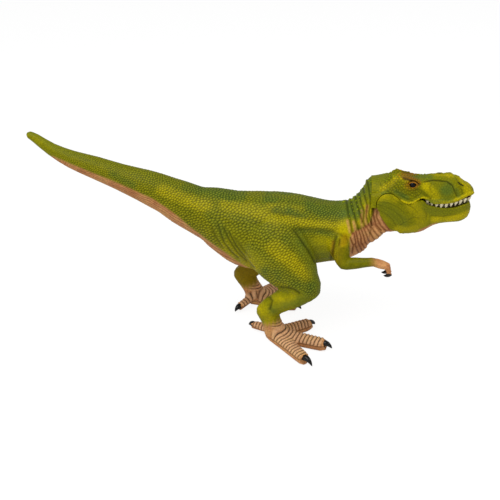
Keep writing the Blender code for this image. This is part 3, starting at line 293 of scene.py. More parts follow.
def newTree(name, inputs):
    # geometry nodes with named inputs, of which the last is the material
    tree = bpy.data.node_groups.new(name, "GeometryNodeTree")
    face = tree.interface
    face.new_socket("Geometry", in_out="INPUT", socket_type="NodeSocketGeometry")
    for label, value in inputs.items():
        kind = "NodeSocketInt" if isinstance(value, int) else "NodeSocketFloat"
        face.new_socket(label, in_out="INPUT", socket_type=kind).default_value = value
    face.new_socket("Material", in_out="INPUT", socket_type="NodeSocketMaterial")
    face.new_socket("Geometry", in_out="OUTPUT", socket_type="NodeSocketGeometry")
    return tree, tree.nodes.new("NodeGroupInput").outputs


def nodeIn(tree, kind, inputs=(), **settings):
    node = tree.nodes.new(kind)
    for setting, value in settings.items():
        setattr(node, setting, value)
    for socket, value in dict(inputs).items():
        if isinstance(value, bpy.types.NodeSocket):
            tree.links.new(value, node.inputs[socket])
        else:
            node.inputs[socket].default_value = value
    return node


def out(tree, kind, inputs=(), pick=0, **settings):
    return nodeIn(tree, kind, inputs, **settings).outputs[pick]


def maths(tree, operation, first, second=0.0, clamp=False):
    return out(tree, "ShaderNodeMath", {0: first, 1: second}, operation=operation, use_clamp=clamp)


def closeTree(tree, ins, geometry):
    real = out(tree, "GeometryNodeRealizeInstances", {"Geometry": geometry})
    dressed = out(tree, "GeometryNodeSetMaterial", {"Geometry": real, "Material": ins["Material"]})
    nodeIn(tree, "NodeGroupOutput", {"Geometry": dressed})
    return tree


def runTree(name, mesh, tree, values):
    made = addObject(name, mesh)
    step = made.modifiers.new("nodes", "NODES")
    step.node_group = tree
    for item in tree.interface.items_tree:
        if item.item_type == "SOCKET" and item.in_out == "INPUT" and item.name in values:
            step[item.identifier] = values[item.name]
    return settled(made)


def spreadPoints(tree, ins, **extra):
    return nodeIn(tree, "GeometryNodeDistributePointsOnFaces", {
        "Mesh": ins["Geometry"], "Distance Min": ins["Spacing"], "Density Max": 3.0e6,
        "Seed": ins["Seed"], **extra}, distribute_method="POISSON").outputs


def makeScaleTree():
    # the middles of the scales, as bare points
    tree, ins = newTree("scaleSpots", {"Spacing": 0.0024, "Seed": 4})
    spots = spreadPoints(tree, ins)
    return closeTree(tree, ins, out(tree, "GeometryNodePointsToVertices", {"Points": spots["Points"]}))


def randomSize(tree, ins, low, high):
    return out(tree, "FunctionNodeRandomValue", {2: low, 3: high, "Seed": ins["Seed"]}, 1, data_type="FLOAT")


def makeBeadTree():
    # small domes scattered where the mesh carries a beads mask
    tree, ins = newTree("beadScatter", {"Spacing": 0.002, "Radius": 0.0005, "Seed": 2})
    mask = out(tree, "GeometryNodeInputNamedAttribute", {"Name": "beads"}, "Attribute", data_type="FLOAT")
    spots = spreadPoints(tree, ins, **{"Density Factor": mask})
    bead = out(tree, "GeometryNodeMeshIcoSphere", {"Radius": ins["Radius"], "Subdivisions": 2})
    size = randomSize(tree, ins, 0.65, 1.15)
    scale = out(tree, "ShaderNodeCombineXYZ", {"X": size, "Y": size, "Z": maths(tree, "MULTIPLY", size, 0.75)})
    return closeTree(tree, ins, out(tree, "GeometryNodeInstanceOnPoints", {
        "Points": spots["Points"], "Instance": out(tree, "GeometryNodeSetShadeSmooth", {"Geometry": bead}),
        "Rotation": spots["Rotation"], "Scale": scale}))


scaleTree = makeScaleTree()
beadTree = makeBeadTree()


def scalePattern(mesh, spacing, seed, co, rounds=3):
    # pebble scales: 0 in the grooves and 1 on the tops, and how low on its scale each point lies
    carrier = mesh.copy()
    writeCo(carrier, co)
    copy = runTree("scale spots", carrier, scaleTree, {"Spacing": spacing, "Seed": seed})
    seeds = readCo(copy.data)
    bpy.data.objects.remove(copy)
    for turn in range(rounds + 1):
        tree = kdtree.KDTree(len(seeds))
        for spot, place in enumerate(seeds):
            tree.insert(place, spot)
        tree.balance()
        if turn == rounds:
            break
        owners = np.fromiter((tree.find(place)[1] for place in co), np.int64, len(co))
        counts = np.bincount(owners, minlength=len(seeds))
        for axis in range(3):
            total = np.bincount(owners, co[:, axis], len(seeds))
            seeds[:, axis] = np.where(counts > 0, total / np.maximum(counts, 1), seeds[:, axis])
    edge, low = np.empty(len(co)), np.empty(len(co))
    for spot, place in enumerate(co):
        first, second = tree.find_n(place, 2)
        edge[spot] = second[2] - first[2]
        low[spot] = (place[0] - first[0].x) * 0.5 - (place[2] - first[0].z) * 0.87
    return np.clip(edge / spacing, 0, 1), np.clip(low / (0.5 * spacing), -1, 1)


# each scatter of beads: spacing, radius and seed
beads = {"neckBeads": (0.0026, 0.00060, 11), "napeBeads": (0.0026, 0.0009, 13),
         "browBeads": (0.0019, 0.00055, 17), "ridgeBeads": (0.0017, 0.00060, 19)}


def scatterBeads(name, mesh, mask):
    spacing, radius, seed = beads[name]
    carrier = mesh.copy()
    layer = carrier.attributes.new("beads", "FLOAT", "POINT")
    layer.data.foreach_set("value", np.ascontiguousarray(mask, np.float32))
    made = runTree(name, carrier, beadTree, {
        "Spacing": spacing, "Radius": radius, "Seed": seed, "Material": beadMaterial})
    finishPiece(made, beadMaterial, "figure", "skin")


def cutAway(source, name, cuts):
    # the part of a skin on the kept side of each plane, closed again
    def trim(shape):
        for place, direction in cuts:
            geometry = shape.verts[:] + shape.edges[:] + shape.faces[:]
            result = bmesh.ops.bisect_plane(shape, geom=geometry, plane_co=place, plane_no=direction,
                                            clear_outer=True, dist=1e-7)
            rim = [item for item in result["geom_cut"] if isinstance(item, bmesh.types.BMEdge)]
            rim = [edge for edge in rim if edge.is_boundary]
            made = bmesh.ops.holes_fill(shape, edges=rim, sides=0)
            for edge in rim:
                edge.smooth = False
            bmesh.ops.triangulate(shape, faces=made["faces"])

    mesh = source.data.copy()
    reshape(mesh, trim)
    return addObject(name, mesh)


print("stage: helpers ready")


# body: trunk, tail, legs and arms as one cast skin; ranges run from none to full
body = {
    "voxel": 0.00040, "grow": 0.00025, "rounds": 14, "scaleSpacing": 0.00150, "scaleHeight": 0.24, "seed": 4,
    "neckLift": 0.0024, "neckSpread": 0.0011, "rowDirection": (0.8, 0.0, 0.6), "rowStretch": 0.28,
    "ventDrop": 0.0030, "throatDrop": 0.0020, "armGrow": 0.00035,
    "armSide": (0.0150, 0.0175), "armStart": (0.0560, 0.0600), "armTop": (0.0730, 0.0760),
    "neckStart": (0.056, 0.066), "trunkFoot": (0.044, 0.052), "lowLeg": (0.030, 0.050), "hand": (0.0765, 0.0850),
    "tailTip": (-0.139, -0.105), "lengthwiseGrooves": 16, "throatHalf": 0.0098, "throatRadius": (0.0209, 0.0217),
    "throatFront": 0.0840, "seamRounds": 120, "seamZone": (0.006, 0.016), "zoneRounds": 110,
    # stations along the body, and how much finer the scales are there
    "fineness": ((-0.140, -0.110, -0.070, -0.030, 0.000, 0.030, 0.060, 0.095),
                 (2.00, 1.75, 1.35, 1.10, 1.00, 1.10, 1.35, 1.40)),
}

# folds drawn where the photograph shows them: height in mm, width, lines of places in its pixels
bodyFolds = [
    (-0.55, 1.7, [[(295, 231), (302, 241), (309, 251), (315, 262)]]),
    (-0.3, 2.3, [[(294, 229.8), (305, 229.4), (320, 229.8), (334, 231.8), (342, 235)]]),
    (-0.6, 1.6, [[(336.5, 236), (334, 245), (332, 254), (331, 261)]]),
    (-0.4, 1.2, [[(340, 240), (338, 250), (336.5, 258)]]),
    (0.35, 2.8, [[(287, 219), (302, 223), (320, 226), (338, 229)]]),
    (-0.52, 1.2, [
        [(218, 225), (221, 235), (224, 243), (231, 252), (238, 258)],
        [(223.5, 228), (229, 240), (237, 252.5), (247, 262)]]),
    (-0.46, 1.2, [[(229, 232), (236, 246), (247, 260), (254, 268)]]),
    (-0.36, 1.2, [[(212, 228), (216, 238), (223, 248)]]),
    (-0.3, 1.2, [[(235, 238), (242, 248), (250, 258)]]),
    (0.25, 2.4, [[(272, 205), (285, 206), (300, 210)]]),
    (-0.25, 2.4, [[(270, 211), (285, 213.5), (300, 216)]]),
]
kneeFolds = [
    (-0.55, 1.5, [[(281, 287.5), (288, 288.3), (294, 289.5), (299, 293)]]),
    (0.3, 2, [[(290, 285.5), (298, 288.5), (303, 292)]]),
    (-0.4, 1.6, [[(269, 296), (272, 301), (270, 309)]]),
]
neckFolds = [
    (-0.55, 1.25, [
        [(346.5, 202), (348, 212), (350.5, 222), (352.5, 234)],
        [(350.5, 200), (352.5, 210), (356, 221), (359, 231)],
        [(355, 197), (357, 206), (360, 215), (362.5, 222)]]),
    (-0.5, 1.25, [
        [(358.5, 194), (360.5, 203), (364, 212), (363, 222), (366, 228)],
        [(362.5, 187), (364.5, 197), (367, 206), (366, 216), (369, 226)]]),
    (-0.45, 1.25, [
        [(367, 181), (369, 192), (371, 203), (368.5, 213), (372, 226)],
        [(371, 181), (372.5, 193), (374, 204), (373, 214), (376, 226), (381, 231)]]),
    (-0.4, 1.15, [[(377, 211), (376.5, 218), (381, 227), (387, 232)]]),
    (-0.35, 1.15, [[(381, 213), (383, 221), (389, 230)]]),
    (-0.4, 1, [
        [(350.5, 238), (352.1, 242.7), (353.7, 245.4), (352.8, 248.5), (352.3, 253)],
        [(354, 233.5), (355.9, 242.7), (355, 244.9), (356.3, 247.6), (358.6, 253)],
        [(356, 231.5), (358.6, 243.6), (360.4, 247.1), (362.1, 251)],
        [(358.5, 229.5), (361, 237), (361.3, 243), (363.9, 247.1), (366, 250.5)]]),
    (-0.38, 1, [
        [(361, 228.5), (364, 237), (365.3, 242.7), (368, 245.4), (370, 248)],
        [(363.5, 227.5), (366.5, 235), (368.4, 240), (371.5, 244)]]),
    (-0.36, 1, [[(366, 226), (370, 233), (373, 238), (376, 241)]]),
    (-0.34, 1, [[(369, 225), (374, 231.5), (378, 236), (381, 238)]]),
    (-0.32, 1, [[(373, 224), (379, 231), (385, 235.5)]]),
    (-0.3, 1, [[(378, 224), (384, 230.5), (390, 234)]]),
]

# paint brushes for each mask: width, soft, strength, places
bodyPaint = {
    "dark": [
        (3, 4, 0.8, [(186, 187.5), (205, 190.5), (225, 194), (242, 197)]),
        (2.5, 3.5, 0.5, [(112, 174), (121, 179), (133, 185)]),
        (4, 5, 0.4, [(210, 214), (218, 224), (224, 233)]),
        (3.5, 5, 0.65, [(200, 191), (222, 194.5), (240, 198)]),
        (3.5, 5, 0.7, [(268, 198.5), (285, 201), (303, 205), (318, 209)]),
        (5.5, 6, 0.75, [(310, 204), (325, 209), (340, 212)]),
        (3, 3.5, 0.65, [(276, 210), (290, 211), (305, 214)]),
        # the next two strokes are painted shade: under the ridge from the thigh to the shoulder, and in the crease
        # between thigh and flank
        (2.4, 4, 0.55, [(296, 230), (312, 230.5), (330, 232)]),
        (5, 6.5, 0.46, [(289, 238), (302, 250), (311, 263), (317, 283)]),
        (6, 7, 0.24, [(240, 222), (262, 232), (282, 246)]), (6, 6, 0.3, [(252, 250), (264, 262), (280, 272)]),
        (5, 6, 0.6, [(266, 272), (290, 279), (308, 288)]), (5, 6, 0.45, [(318, 284), (318, 295), (300, 304)]),
        (3, 5, 0.45, [(297, 303), (280, 307), (272, 310)]), (4, 6, 0.35, [(300, 238), (316, 250), (328, 256)]),
        (6, 6, 0.6, [(349, 205), (357, 198), (364, 189), (370, 181)]),
        (5.5, 5, 0.75, [(342, 204), (349, 209), (356, 213)])],
    "bright": [
        (4.5, 5, 0.85, [(163, 190), (186, 200), (207, 206)]),
        (3.5, 6, 0.1, [(40, 138), (70, 152), (105, 163), (140, 175)]),
        (5, 6, 0.85, [(226, 204), (250, 210), (262, 213), (276, 218)]),
        (3, 4, 0.8, [(270, 205), (286, 206), (302, 209)]),
        (3.6, 4, 0.95, [(286, 219), (305, 223), (330, 226), (348, 230)]),
        (6.5, 6, 0.78, [(275, 248), (290, 260), (304, 274)]),
        (6, 7, 0.45, [(250, 258), (268, 270), (282, 277)]), (5, 6, 0.5, [(276, 302), (284, 304), (291, 302)]),
        (4, 5, 0.62, [(262, 306), (266, 315), (270, 323)]),
        (5.5, 5, 0.85, [(343, 226), (347, 236), (346, 247), (343, 258)]),
        (4, 5, 0.5, [(225, 248), (238, 258), (252, 268)]), (6, 7, 0.35, [(318, 243), (328, 247)]),
        (3, 4, 0.7, [(362, 200), (366, 210), (366, 224)]),
        (1.6, 2.6, 0.6, [(370, 206), (371.5, 216), (371, 224)]),
        (3.5, 5, 0.6, [(352, 224), (360, 219), (368, 214)])],
    "rustAndShade": [
        (3, 4, 0.45, [(345, 238), (341, 250), (338, 262)]), (1.4, 2, 0.55, [(333.5, 242), (332, 256)])],
    "tan": [
        (0, 1.6, 1, [(375.5, 208), (371, 222), (362, 229), (352, 233), (349.5, 240), (350, 262), (372, 250),
            (402, 236), (398, 218), (384, 208)]),
        (0.9, 1.6, 0.62, [(347.5, 221), (350, 232)]), (1, 1.6, 0.66, [(353.5, 222), (356.5, 234)]),
        (0.9, 1.6, 0.5, [(361.5, 211), (361.5, 222), (362.5, 231)]),
        (1, 1.8, 0.6, [(367.2, 206), (365.5, 218), (366, 229)]),
        (1.1, 1.8, 0.66, [(374, 203), (374.5, 212), (371, 224)]),
        (0, 1.4, 1, [(52, 156), (90, 172), (113, 181), (136, 191.4), (151, 198), (165, 207), (178, 216.5),
            (192, 228.5), (212, 243.5), (233, 258.5), (243, 265), (256, 272), (250, 290), (180, 246),
            (100, 192), (52, 162)])],
}
# where the scales are fainter, as brushes
calmSkin = [
    (0, 5, 0.55, [(298, 238), (326, 236), (336, 242), (334, 258), (318, 262), (308, 252)]),
    (6, 6, 0.45, [(300, 240), (314, 260), (320, 284)]), (9, 6, 0.75, [(276, 300), (296, 300), (268, 314)]),
    (6, 6, 0.6, [(344, 232), (346, 256)]), (8, 8, 0.35, [(226, 236), (240, 252), (256, 266)]),
]

legs = {
    # each foot: middle, back of the ankle, then for each toe its end, direction, claw size and added length
    "right": {"middle": (0.0202, -0.0218), "hock": 0.0152, "toes": [
        ((0.0432, -0.0069, 0.0047), (0.839, 0.545, 0.0), 0.80, -0.0014),
        ((0.0516, -0.0302, 0.0050), (0.966, -0.259, 0.0), 0.90, 0.0010),
        ((0.0396, -0.0457, 0.0047), (0.629, -0.777, 0.0), 1.04, 0.0018),
        ((0.0072, -0.0137, 0.0043), (-0.848, 0.530, 0.0), 0.66, 0.0024)]},
    "left": {"middle": (0.0032, 0.0222), "hock": -0.0052, "toes": [
        ((0.0296, 0.0151, 0.0047), (0.966, -0.259, 0.0), 0.92, 0.0006),
        ((0.0342, 0.0323, 0.0050), (0.951, 0.309, 0.0), 0.92, 0.0006),
        ((0.0230, 0.0458, 0.0047), (0.643, 0.766, 0.0), 0.92, 0.0006),
        ((-0.0060, 0.0100, 0.0043), (-0.602, -0.799, 0.0), 0.74, 0.0014)]},
}
toeRibs = {"spacing": 0.00242, "height": 0.70, "start": 0.0002, "sideBand": 0.0046, "bend": 0.08}
hands = {"right": (0.0910, -0.0264, 0.0625), "left": (0.0825, 0.0196, 0.0625)}


def centreLine():
    # height of the middle and half height of trunk and tail along X
    co = np.concatenate([readCo(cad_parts[name].data) for name in ("trunk", "tail")])
    xs = np.linspace(co[:, 0].min() + 0.002, 0.060, 40)
    heights = [co[np.abs(co[:, 0] - x) < 0.0035][:, 2] for x in xs]
    low, high = np.array([z.min() for z in heights]), np.array([z.max() for z in heights])
    return xs, (low + high) / 2, (high - low) / 2


def stretched(co, xs, middles):
    # the skin stretched where the scales are finer, so that one spacing serves it all
    stations = np.linspace(-0.142, 0.100, 240)
    finer = np.interp(stations, *body["fineness"])
    reach = np.concatenate([[0], np.cumsum((finer[1:] + finer[:-1]) / 2 * np.diff(stations))])
    factor = np.interp(co[:, 0], stations, finer)
    middle = np.interp(co[:, 0], xs, middles)
    even = np.stack([np.interp(co[:, 0], stations, reach), (co[:, 1] - midY) * factor,
                     middle + (co[:, 2] - middle) * factor], 1)
    row = np.array(body["rowDirection"])
    return even - body["rowStretch"] * np.outer(even @ row, row)


def isArm(co):
    return (ramp(*body["armSide"], sideOf(co)) * ramp(*body["armStart"], co[:, 0])
            * fall(*body["armTop"], co[:, 2]))


def ownSide(co, sideName):
    return co[:, 1] < midY if sideName == "right" else co[:, 1] > midY


def bluntEnds(co):
    # the skin stops under each claw, which is a piece of its own
    stub, press, reach = 0.0003, 0.04, 0.010
    for leg in legs.values():
        for seat, ahead, size, grown in leg["toes"]:
            ahead = np.array(ahead)
            away = co - np.array(seat)
            along = away @ ahead
            offset = away - along[:, None] * ahead
            radial = np.linalg.norm(offset, axis=1)
            near = (along > stub) & (along < reach) & (radial < 0.0026 * size + along * 0.55)
            held = np.minimum(1.0, 0.0018 * size / np.maximum(radial[near], 1e-9))
            co[near] = (np.array(seat) + ahead * (stub + press * (along[near] - stub))[:, None]
                        + offset[near] * held[:, None])
    for x, y, z in hands.values():
        end = z - 0.0042
        near = (np.abs(co[:, 1] - y) < 0.007) & (co[:, 0] > x - 0.008) & (co[:, 2] < end)
        near &= co[:, 2] > z - 0.012
        co[near, 2] = end + press * (co[near, 2] - end)
        co[near, 0] = np.maximum(co[near, 0], x - 0.0018)


def swellNeck(co, normals):
    # the neck rises to the back of the skull
    x, y, z = co.T
    z += body["neckLift"] * (1 - isArm(co)) * ramp(0.0690, 0.0775, x) * ramp(0.0, 0.9, normals[:, 2])
    y += body["neckSpread"] * (1 - isArm(co)) * ramp(0.0730, 0.0810, x) * normals[:, 1]
    fronts = ramp(0.5, 0.9, normals[:, 0]) * (x > 0.078) * (1 - isArm(co))
    x += np.where(z > 0.0805, 0.0005, -0.0008) * fronts


def dropBelly(co, normals):
    # the vent and the throat hang lower than the cast
    x, y, z = co.T
    under = ramp(0.0, 0.7, -normals[:, 2]) * (z > 0.048)
    vent = ramp(-0.030, -0.008, x) * fall(0.010, 0.022, x)
    z -= body["ventDrop"] * vent * under * fall(0.0090, 0.0150, sideOf(co))
    throat = ramp(0.0690, 0.0760, x) * (1 - 0.7 * ramp(0.0800, 0.0870, x))
    throat *= fall(0.0765, 0.0795, z) * (1 - isArm(co))
    z -= body["throatDrop"] * throat * under


def clearJaw(co):
    # the throat stays between the cheeks, and behind the jaw's floor when the jaw opens
    x, y, z = co.T
    zone = ramp(0.0770, 0.0800, x) * ramp(0.0790, 0.0820, z) * (1 - isArm(co)) * fall(0.0990, 0.1020, z)
    side = sideOf(co)
    held = np.minimum(side, body["throatHalf"] + (side - body["throatHalf"]) * 0.42)
    y[:] = midY + np.sign(y - midY) * (side + zone * (held - side))
    away = np.hypot(x - jawHinge[0], z - jawHinge[1])
    front = ramp(*body["throatRadius"], away) * (x > body["throatFront"]) * (1 - isArm(co))
    x -= front * (x - body["throatFront"]) * 0.35


def easeZones(co):
    # where each ankle spreads into its foot, and the chest
    x, y, z = co.T
    ankles = np.zeros(len(co))
    for leg in legs.values():
        away = np.hypot(x - leg["middle"][0] - 0.004, y - leg["middle"][1])
        ankles = np.maximum(ankles, fall(0.0100, 0.0160, away))
    ankles = ankles * ramp(0.0055, 0.0080, z) * fall(0.0180, 0.0240, z)
    chest = ramp(0.0700, 0.0750, x) * fall(0.0820, 0.0860, x) * (1 - isArm(co))
    return np.maximum(ankles, chest * fall(0.0740, 0.0790, z))


def toePlaces(co):
    # how far along its toe and how far to the side each point lies, and how long that toe is
    best = np.full(len(co), farAway)
    along, across, reach = np.zeros(len(co)), np.zeros(len(co)), np.ones(len(co))
    for sideName, leg in legs.items():
        for seat, ahead, size, grown in leg["toes"]:
            away = co[:, :2] - np.array(leg["middle"])
            forward = away @ np.array(ahead[:2])
            lateral = away @ np.array((-ahead[1], ahead[0]))
            score = np.where(ownSide(co, sideName) & (forward > -0.001), np.abs(lateral), farAway / 10)
            closer = score < best
            best = np.where(closer, score, best)
            along, across = np.where(closer, forward, along), np.where(closer, lateral, across)
            reach = np.where(closer, math.dist(leg["middle"], seat[:2]) + grown, reach)
    return along, across, reach


def stretchToes(co):
    for sideName, leg in legs.items():
        own = ownSide(co, sideName) & (co[:, 2] < 0.014)
        for seat, ahead, size, grown in leg["toes"]:
            away = co[:, :2] - np.array(leg["middle"])
            along = away @ np.array(ahead[:2]) / math.dist(leg["middle"], seat[:2])
            lateral = np.abs(away @ np.array((-ahead[1], ahead[0])))
            share = own * ramp(0.45, 1.0, along) * fall(0.0055, 0.0075, lateral)
            co[:, :2] += np.array(ahead[:2]) * (grown * share)[:, None]


def ribWave(values):
    part = values - np.floor(values)
    bump = 1 - np.abs(2 * part - 1) ** 1.8
    return bump, fall(0.15, 0.85, bump)


def layRibs(co, normals, height, channels):
    # bands across the tops of the toes and up the front of the ankle, and a groove round the sole
    x, y, z = co.T
    along, across, reach = toePlaces(co)
    start, edge = toeRibs["start"], toeRibs["sideBand"]
    low = fall(0.0120, 0.0145, z)
    onToe = (low * (ramp(edge, edge + 0.0009, z) * ramp(-0.15, 0.15, normals[:, 2]))
             * ramp(start, start + 0.005, along) * fall(reach - 0.0008, reach - 0.0002, along))
    bump, gap = ribWave(along / toeRibs["spacing"] + toeRibs["bend"] * np.abs(across) / millimetre)
    ankle = (1 - low) * channels["foot"] * fall(0.0190, 0.0225, z) * ramp(-0.25, 0.15, normals[:, 0])
    ankleBump, ankleGap = ribWave(z / (toeRibs["spacing"] * 0.9) + 60 * x)
    height += toeRibs["height"] * millimetre * (onToe * (bump - 0.4) + 0.7 * ankle * (ankleBump - 0.4))
    line = (np.exp(-((z - edge) / 0.0005) ** 2) * low * channels["foot"] * ramp(start, start + 0.002, along)
            * fall(0.6, 0.9, np.abs(normals[:, 2])))
    height -= 0.18 * millimetre * line
    # the gaps between the ribs and the groove round the sole are painted darker, as a dark wash and painted shade;
    # the rib tops lighter, as painted highlight and wear
    lift(channels, "washAndShade", np.maximum(np.maximum(onToe * gap, ankle * ankleGap), line * 0.7))
    lift(channels, "wornAndHighlight", (onToe * bump + 0.7 * ankle * ankleBump) * 0.8)


def shapeBody(mesh):
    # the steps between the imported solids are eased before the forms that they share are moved
    pull = (0.5,)
    smoothSkin(mesh, body["seamRounds"], pull, fall(*body["seamZone"], np.abs(readCo(mesh)[:, 0] - seamX)))
    smoothSkin(mesh, body["zoneRounds"], pull, easeZones(readCo(mesh)))
    co, normals = readCo(mesh), readNormals(mesh)
    swellNeck(co, normals)
    dropBelly(co, normals)
    bluntEnds(co)
    stretchToes(co)
    co += normals * (body["armGrow"] * isArm(co))[:, None]
    writeCo(mesh, co)


def dressBody(mesh):
    shapeBody(mesh)
    co, normals = readCo(mesh), readNormals(mesh)
    x, y, z = co.T
    spots, outward, side = photoSpots(co), facing(co, normals), sideOf(co)
    seen = ramp(-0.10, 0.25, outward)
    xs, middles, halves = centreLine()
    level = (z - np.interp(x, xs, middles)) / np.interp(x, xs, halves)
    arm = isArm(co)
    lowLeg = fall(*body["lowLeg"], z)
    neck = ramp(*body["neckStart"], x) * (1 - arm)
    trunkOnly = (1 - arm) * ramp(*body["trunkFoot"], z)

    channels = newChannels(len(co))
    channels["dark"] += 0.35 * ramp(0.35, 0.95, level) * trunkOnly * (1 - 0.6 * neck)
    layBrushes(spots, seen * (1 - arm * 0.7), bodyPaint, channels)
    bellyTan = (ramp(0.60, 0.92, -normals[:, 2]) * trunkOnly * fall(-0.80, -0.60, level)
                * fall(0.018, 0.022, side) * fall(-0.05, 0.20, outward))
    throatTan = ramp(0.058, 0.066, x) * ramp(0.0, 0.5, -normals[:, 2]) * (1 - arm)
    lift(channels, "tan", np.maximum(bellyTan, throatTan))
    hand = arm * ramp(*body["hand"], x + np.where(y > midY, hands["right"][0] - hands["left"][0], 0.0))
    channels["tan"] = channels["tan"] * (1 - arm) + hand
    hocks = np.where(y < midY, legs["right"]["hock"], legs["left"]["hock"])
    fore = np.clip(x - hocks - 0.003, -0.008, 0.008)
    foot = fall(0.0125, 0.0205, z - 0.35 * fore + 0.0008 * np.sin(x * 2500))
    channels["foot"] = foot
    # the far leg's shank is painted browner and less bright: painted shade
    farLegShade = (y > midY + 0.006) * fall(0.034, 0.052, z)
    lift(channels, "rustAndShade", 0.40 * farLegShade * (1 - foot))
    channels["bright"] *= 1 - 0.4 * farLegShade

    pattern, low = scalePattern(mesh, body["scaleSpacing"], body["seed"], stretched(co, xs, middles))
    calm = 0.85 * fall(*body["tailTip"], x)
    for width, soft, strength, points in calmSkin:
        calm = np.maximum(calm, strength * brushMask(spots, width, soft, points))
    scaled = (1 - arm * 0.8) * (1 - 0.85 * lowLeg) * (1 - 0.75 * neck) * (1 - channels["tan"] * 0.9) * (1 - calm)
    dome = np.sqrt(np.clip(pattern * 1.4, 0, 1))
    height = (body["scaleHeight"] * millimetre * (dome - 0.75 - 0.5 * low) * scaled
              / np.interp(x, *body["fineness"]))
    # the gaps between the scales are painted darker as a dark wash and painted shade, and the lower side of each
    # scale darker as painted shade
    channels["washAndShade"] = np.maximum(0.8 * fall(0.05, 0.60, pattern), ramp(0.10, 0.85, low)) * scaled
    # the arms and the lower legs are painted darker all over
    lift(channels, "washAndShade", 0.55 * arm * (1 - hand) + 0.22 * lowLeg * (1 - foot))
    # the tops and the upper side of each scale are painted lighter: painted highlight, partly worn paint
    channels["wornAndHighlight"] = ramp(0.30, 0.90, pattern - 0.6 * low) * scaled

    # the belly strip under the tail has lengthwise grooves
    around = np.arctan2(side, -(z - np.interp(x, xs, middles)))
    lengthwise = np.abs(np.sin(around * body["lengthwiseGrooves"]))
    strip = channels["tan"] * fall(0.035, 0.050, x) * (1 - arm) * trunkOnly
    height -= 0.30 * millimetre * fall(0.0, 0.5, lengthwise) * strip
    # the strip's grooves, and more faintly the whole strip, are painted darker: painted shade on the underside
    lift(channels, "washAndShade", np.maximum(0.25, fall(0.1, 0.6, lengthwise)) * strip)
    carve(spots, seen * trunkOnly, bodyFolds, height, channels["washAndShade"])
    carve(spots, seen * (1 - arm), kneeFolds, height, channels["washAndShade"])
    carve(spots, ramp(-0.4, 0.1, outward) * (1 - arm), neckFolds, height, channels["washAndShade"])
    layRibs(co, normals, height, channels)

    co += normals * height[:, None]
    z[:] = np.maximum(z, 0.0)
    clearJaw(co)
    writeCo(mesh, co)
    storeMasks(mesh, channels)
    nape = neck * ramp(0.15, 0.45, normals[:, 2]) * fall(0.0800, 0.0815, x)
    nape *= ramp(0.0625, 0.0660, x) * (1 - channels["tan"]) * (1 - 0.8 * ramp(0.0715, 0.0750, x))
    scatterBeads("neckBeads", mesh, nape)
    crest = fall(0.0012, 0.0025, side) * ramp(0.75, 0.90, normals[:, 2]) * neck
    scatterBeads("napeBeads", mesh, crest * (x < 0.0725))


# materials
# colours: among them dark washes that also serve as painted shade in the hollows, light tops that are painted
# highlight and wear, and a near-black for lines of painted shade
paint = {
    "green": "#818000", "bright": "#c6b500", "dark": "#5c7020", "tan": "#e8aa70", "rustAndShade": "#9a5c08",
    "foot": "#e2a268", "footWash": "#260f04", "skinWash": "#1c2600", "tanWash": "#804a24", "wornAndHighlight": "#f0c498",
    "scaleTopHighlight": "#ccc630", "tanShade": "#c08252", "footShade": "#b47848", "creaseShade": "#1c1408", "mouth": "#2c120c",
}


def mixColour(tree, factor, first, second, blend="MIX"):
    # a colour is a socket, a name in paint or a code
    first, second = (toLinear(paint.get(c, c)) if isinstance(c, str) else c for c in (first, second))
    return out(tree, "ShaderNodeMix", {0: factor, 6: first, 7: second}, 2, data_type="RGBA", blend_type=blend)


def spread(tree, value, low, high, newLow=0.0, newHigh=1.0):
    return out(tree, "ShaderNodeMapRange", {
        "Value": value, "From Min": low, "From Max": high, "To Min": newLow, "To Max": newHigh})


def makeMottleGroup():
    # cloudy brushwork and fine speckle, and a fine leathery height
    group = bpy.data.node_groups.new("paintMottle", "ShaderNodeTree")
    face = group.interface
    face.new_socket("Place", in_out="INPUT", socket_type="NodeSocketVector")
    for label, value in (("Cloud Scale", 120.0), ("Speckle Scale", 900.0)):
        face.new_socket(label, in_out="INPUT", socket_type="NodeSocketFloat").default_value = value
    for label in ("Cloud", "Speckle", "Height"):
        face.new_socket(label, in_out="OUTPUT", socket_type="NodeSocketFloat")
    ins = group.nodes.new("NodeGroupInput").outputs
    cloud, speckle = (out(group, "ShaderNodeTexNoise", {
        "Vector": ins["Place"], "Scale": ins[scale], "Detail": detail}, "Fac")
        for scale, detail in (("Cloud Scale", 4.0), ("Speckle Scale", 2.0)))
    pebbles = out(group, "ShaderNodeTexVoronoi", {"Vector": ins["Place"], "Scale": ins["Speckle Scale"]},
                  "Distance", feature="F1")
    nodeIn(group, "NodeGroupOutput", {
        "Cloud": spread(group, cloud, 0.35, 0.65), "Speckle": spread(group, speckle, 0.35, 0.65),
        "Height": maths(group, "SUBTRACT", maths(group, "MULTIPLY", speckle, 0.5),
                        maths(group, "MULTIPLY", pebbles, 0.7))})
    return group


mottleGroup = makeMottleGroup()


def startMaterial(name, speckleScale, **uniform):
    material = bpy.data.materials.new(name)
    material.use_nodes = True
    tree = material.node_tree
    shader = tree.nodes["Principled BSDF"]
    for label, value in {"Specular IOR Level": 0.09, **uniform}.items():
        shader.inputs[label].default_value = value
    place = out(tree, "ShaderNodeTexCoord", pick="Object")
    mottle = nodeIn(tree, "ShaderNodeGroup", {"Place": place, "Speckle Scale": speckleScale},
                    node_tree=mottleGroup).outputs
    return material, tree, shader, mottle


def linkSurface(tree, shader, mottle, colour, rough, strength, distance):
    bump = out(tree, "ShaderNodeBump", {"Height": mottle["Height"], "Strength": strength, "Distance": distance})
    uneven = spread(tree, mottle["Speckle"], 0.0, 1.0, *rough)
    for label, socket in (("Base Color", colour), ("Roughness", uneven), ("Normal", bump)):
        tree.links.new(socket, shader.inputs[label])


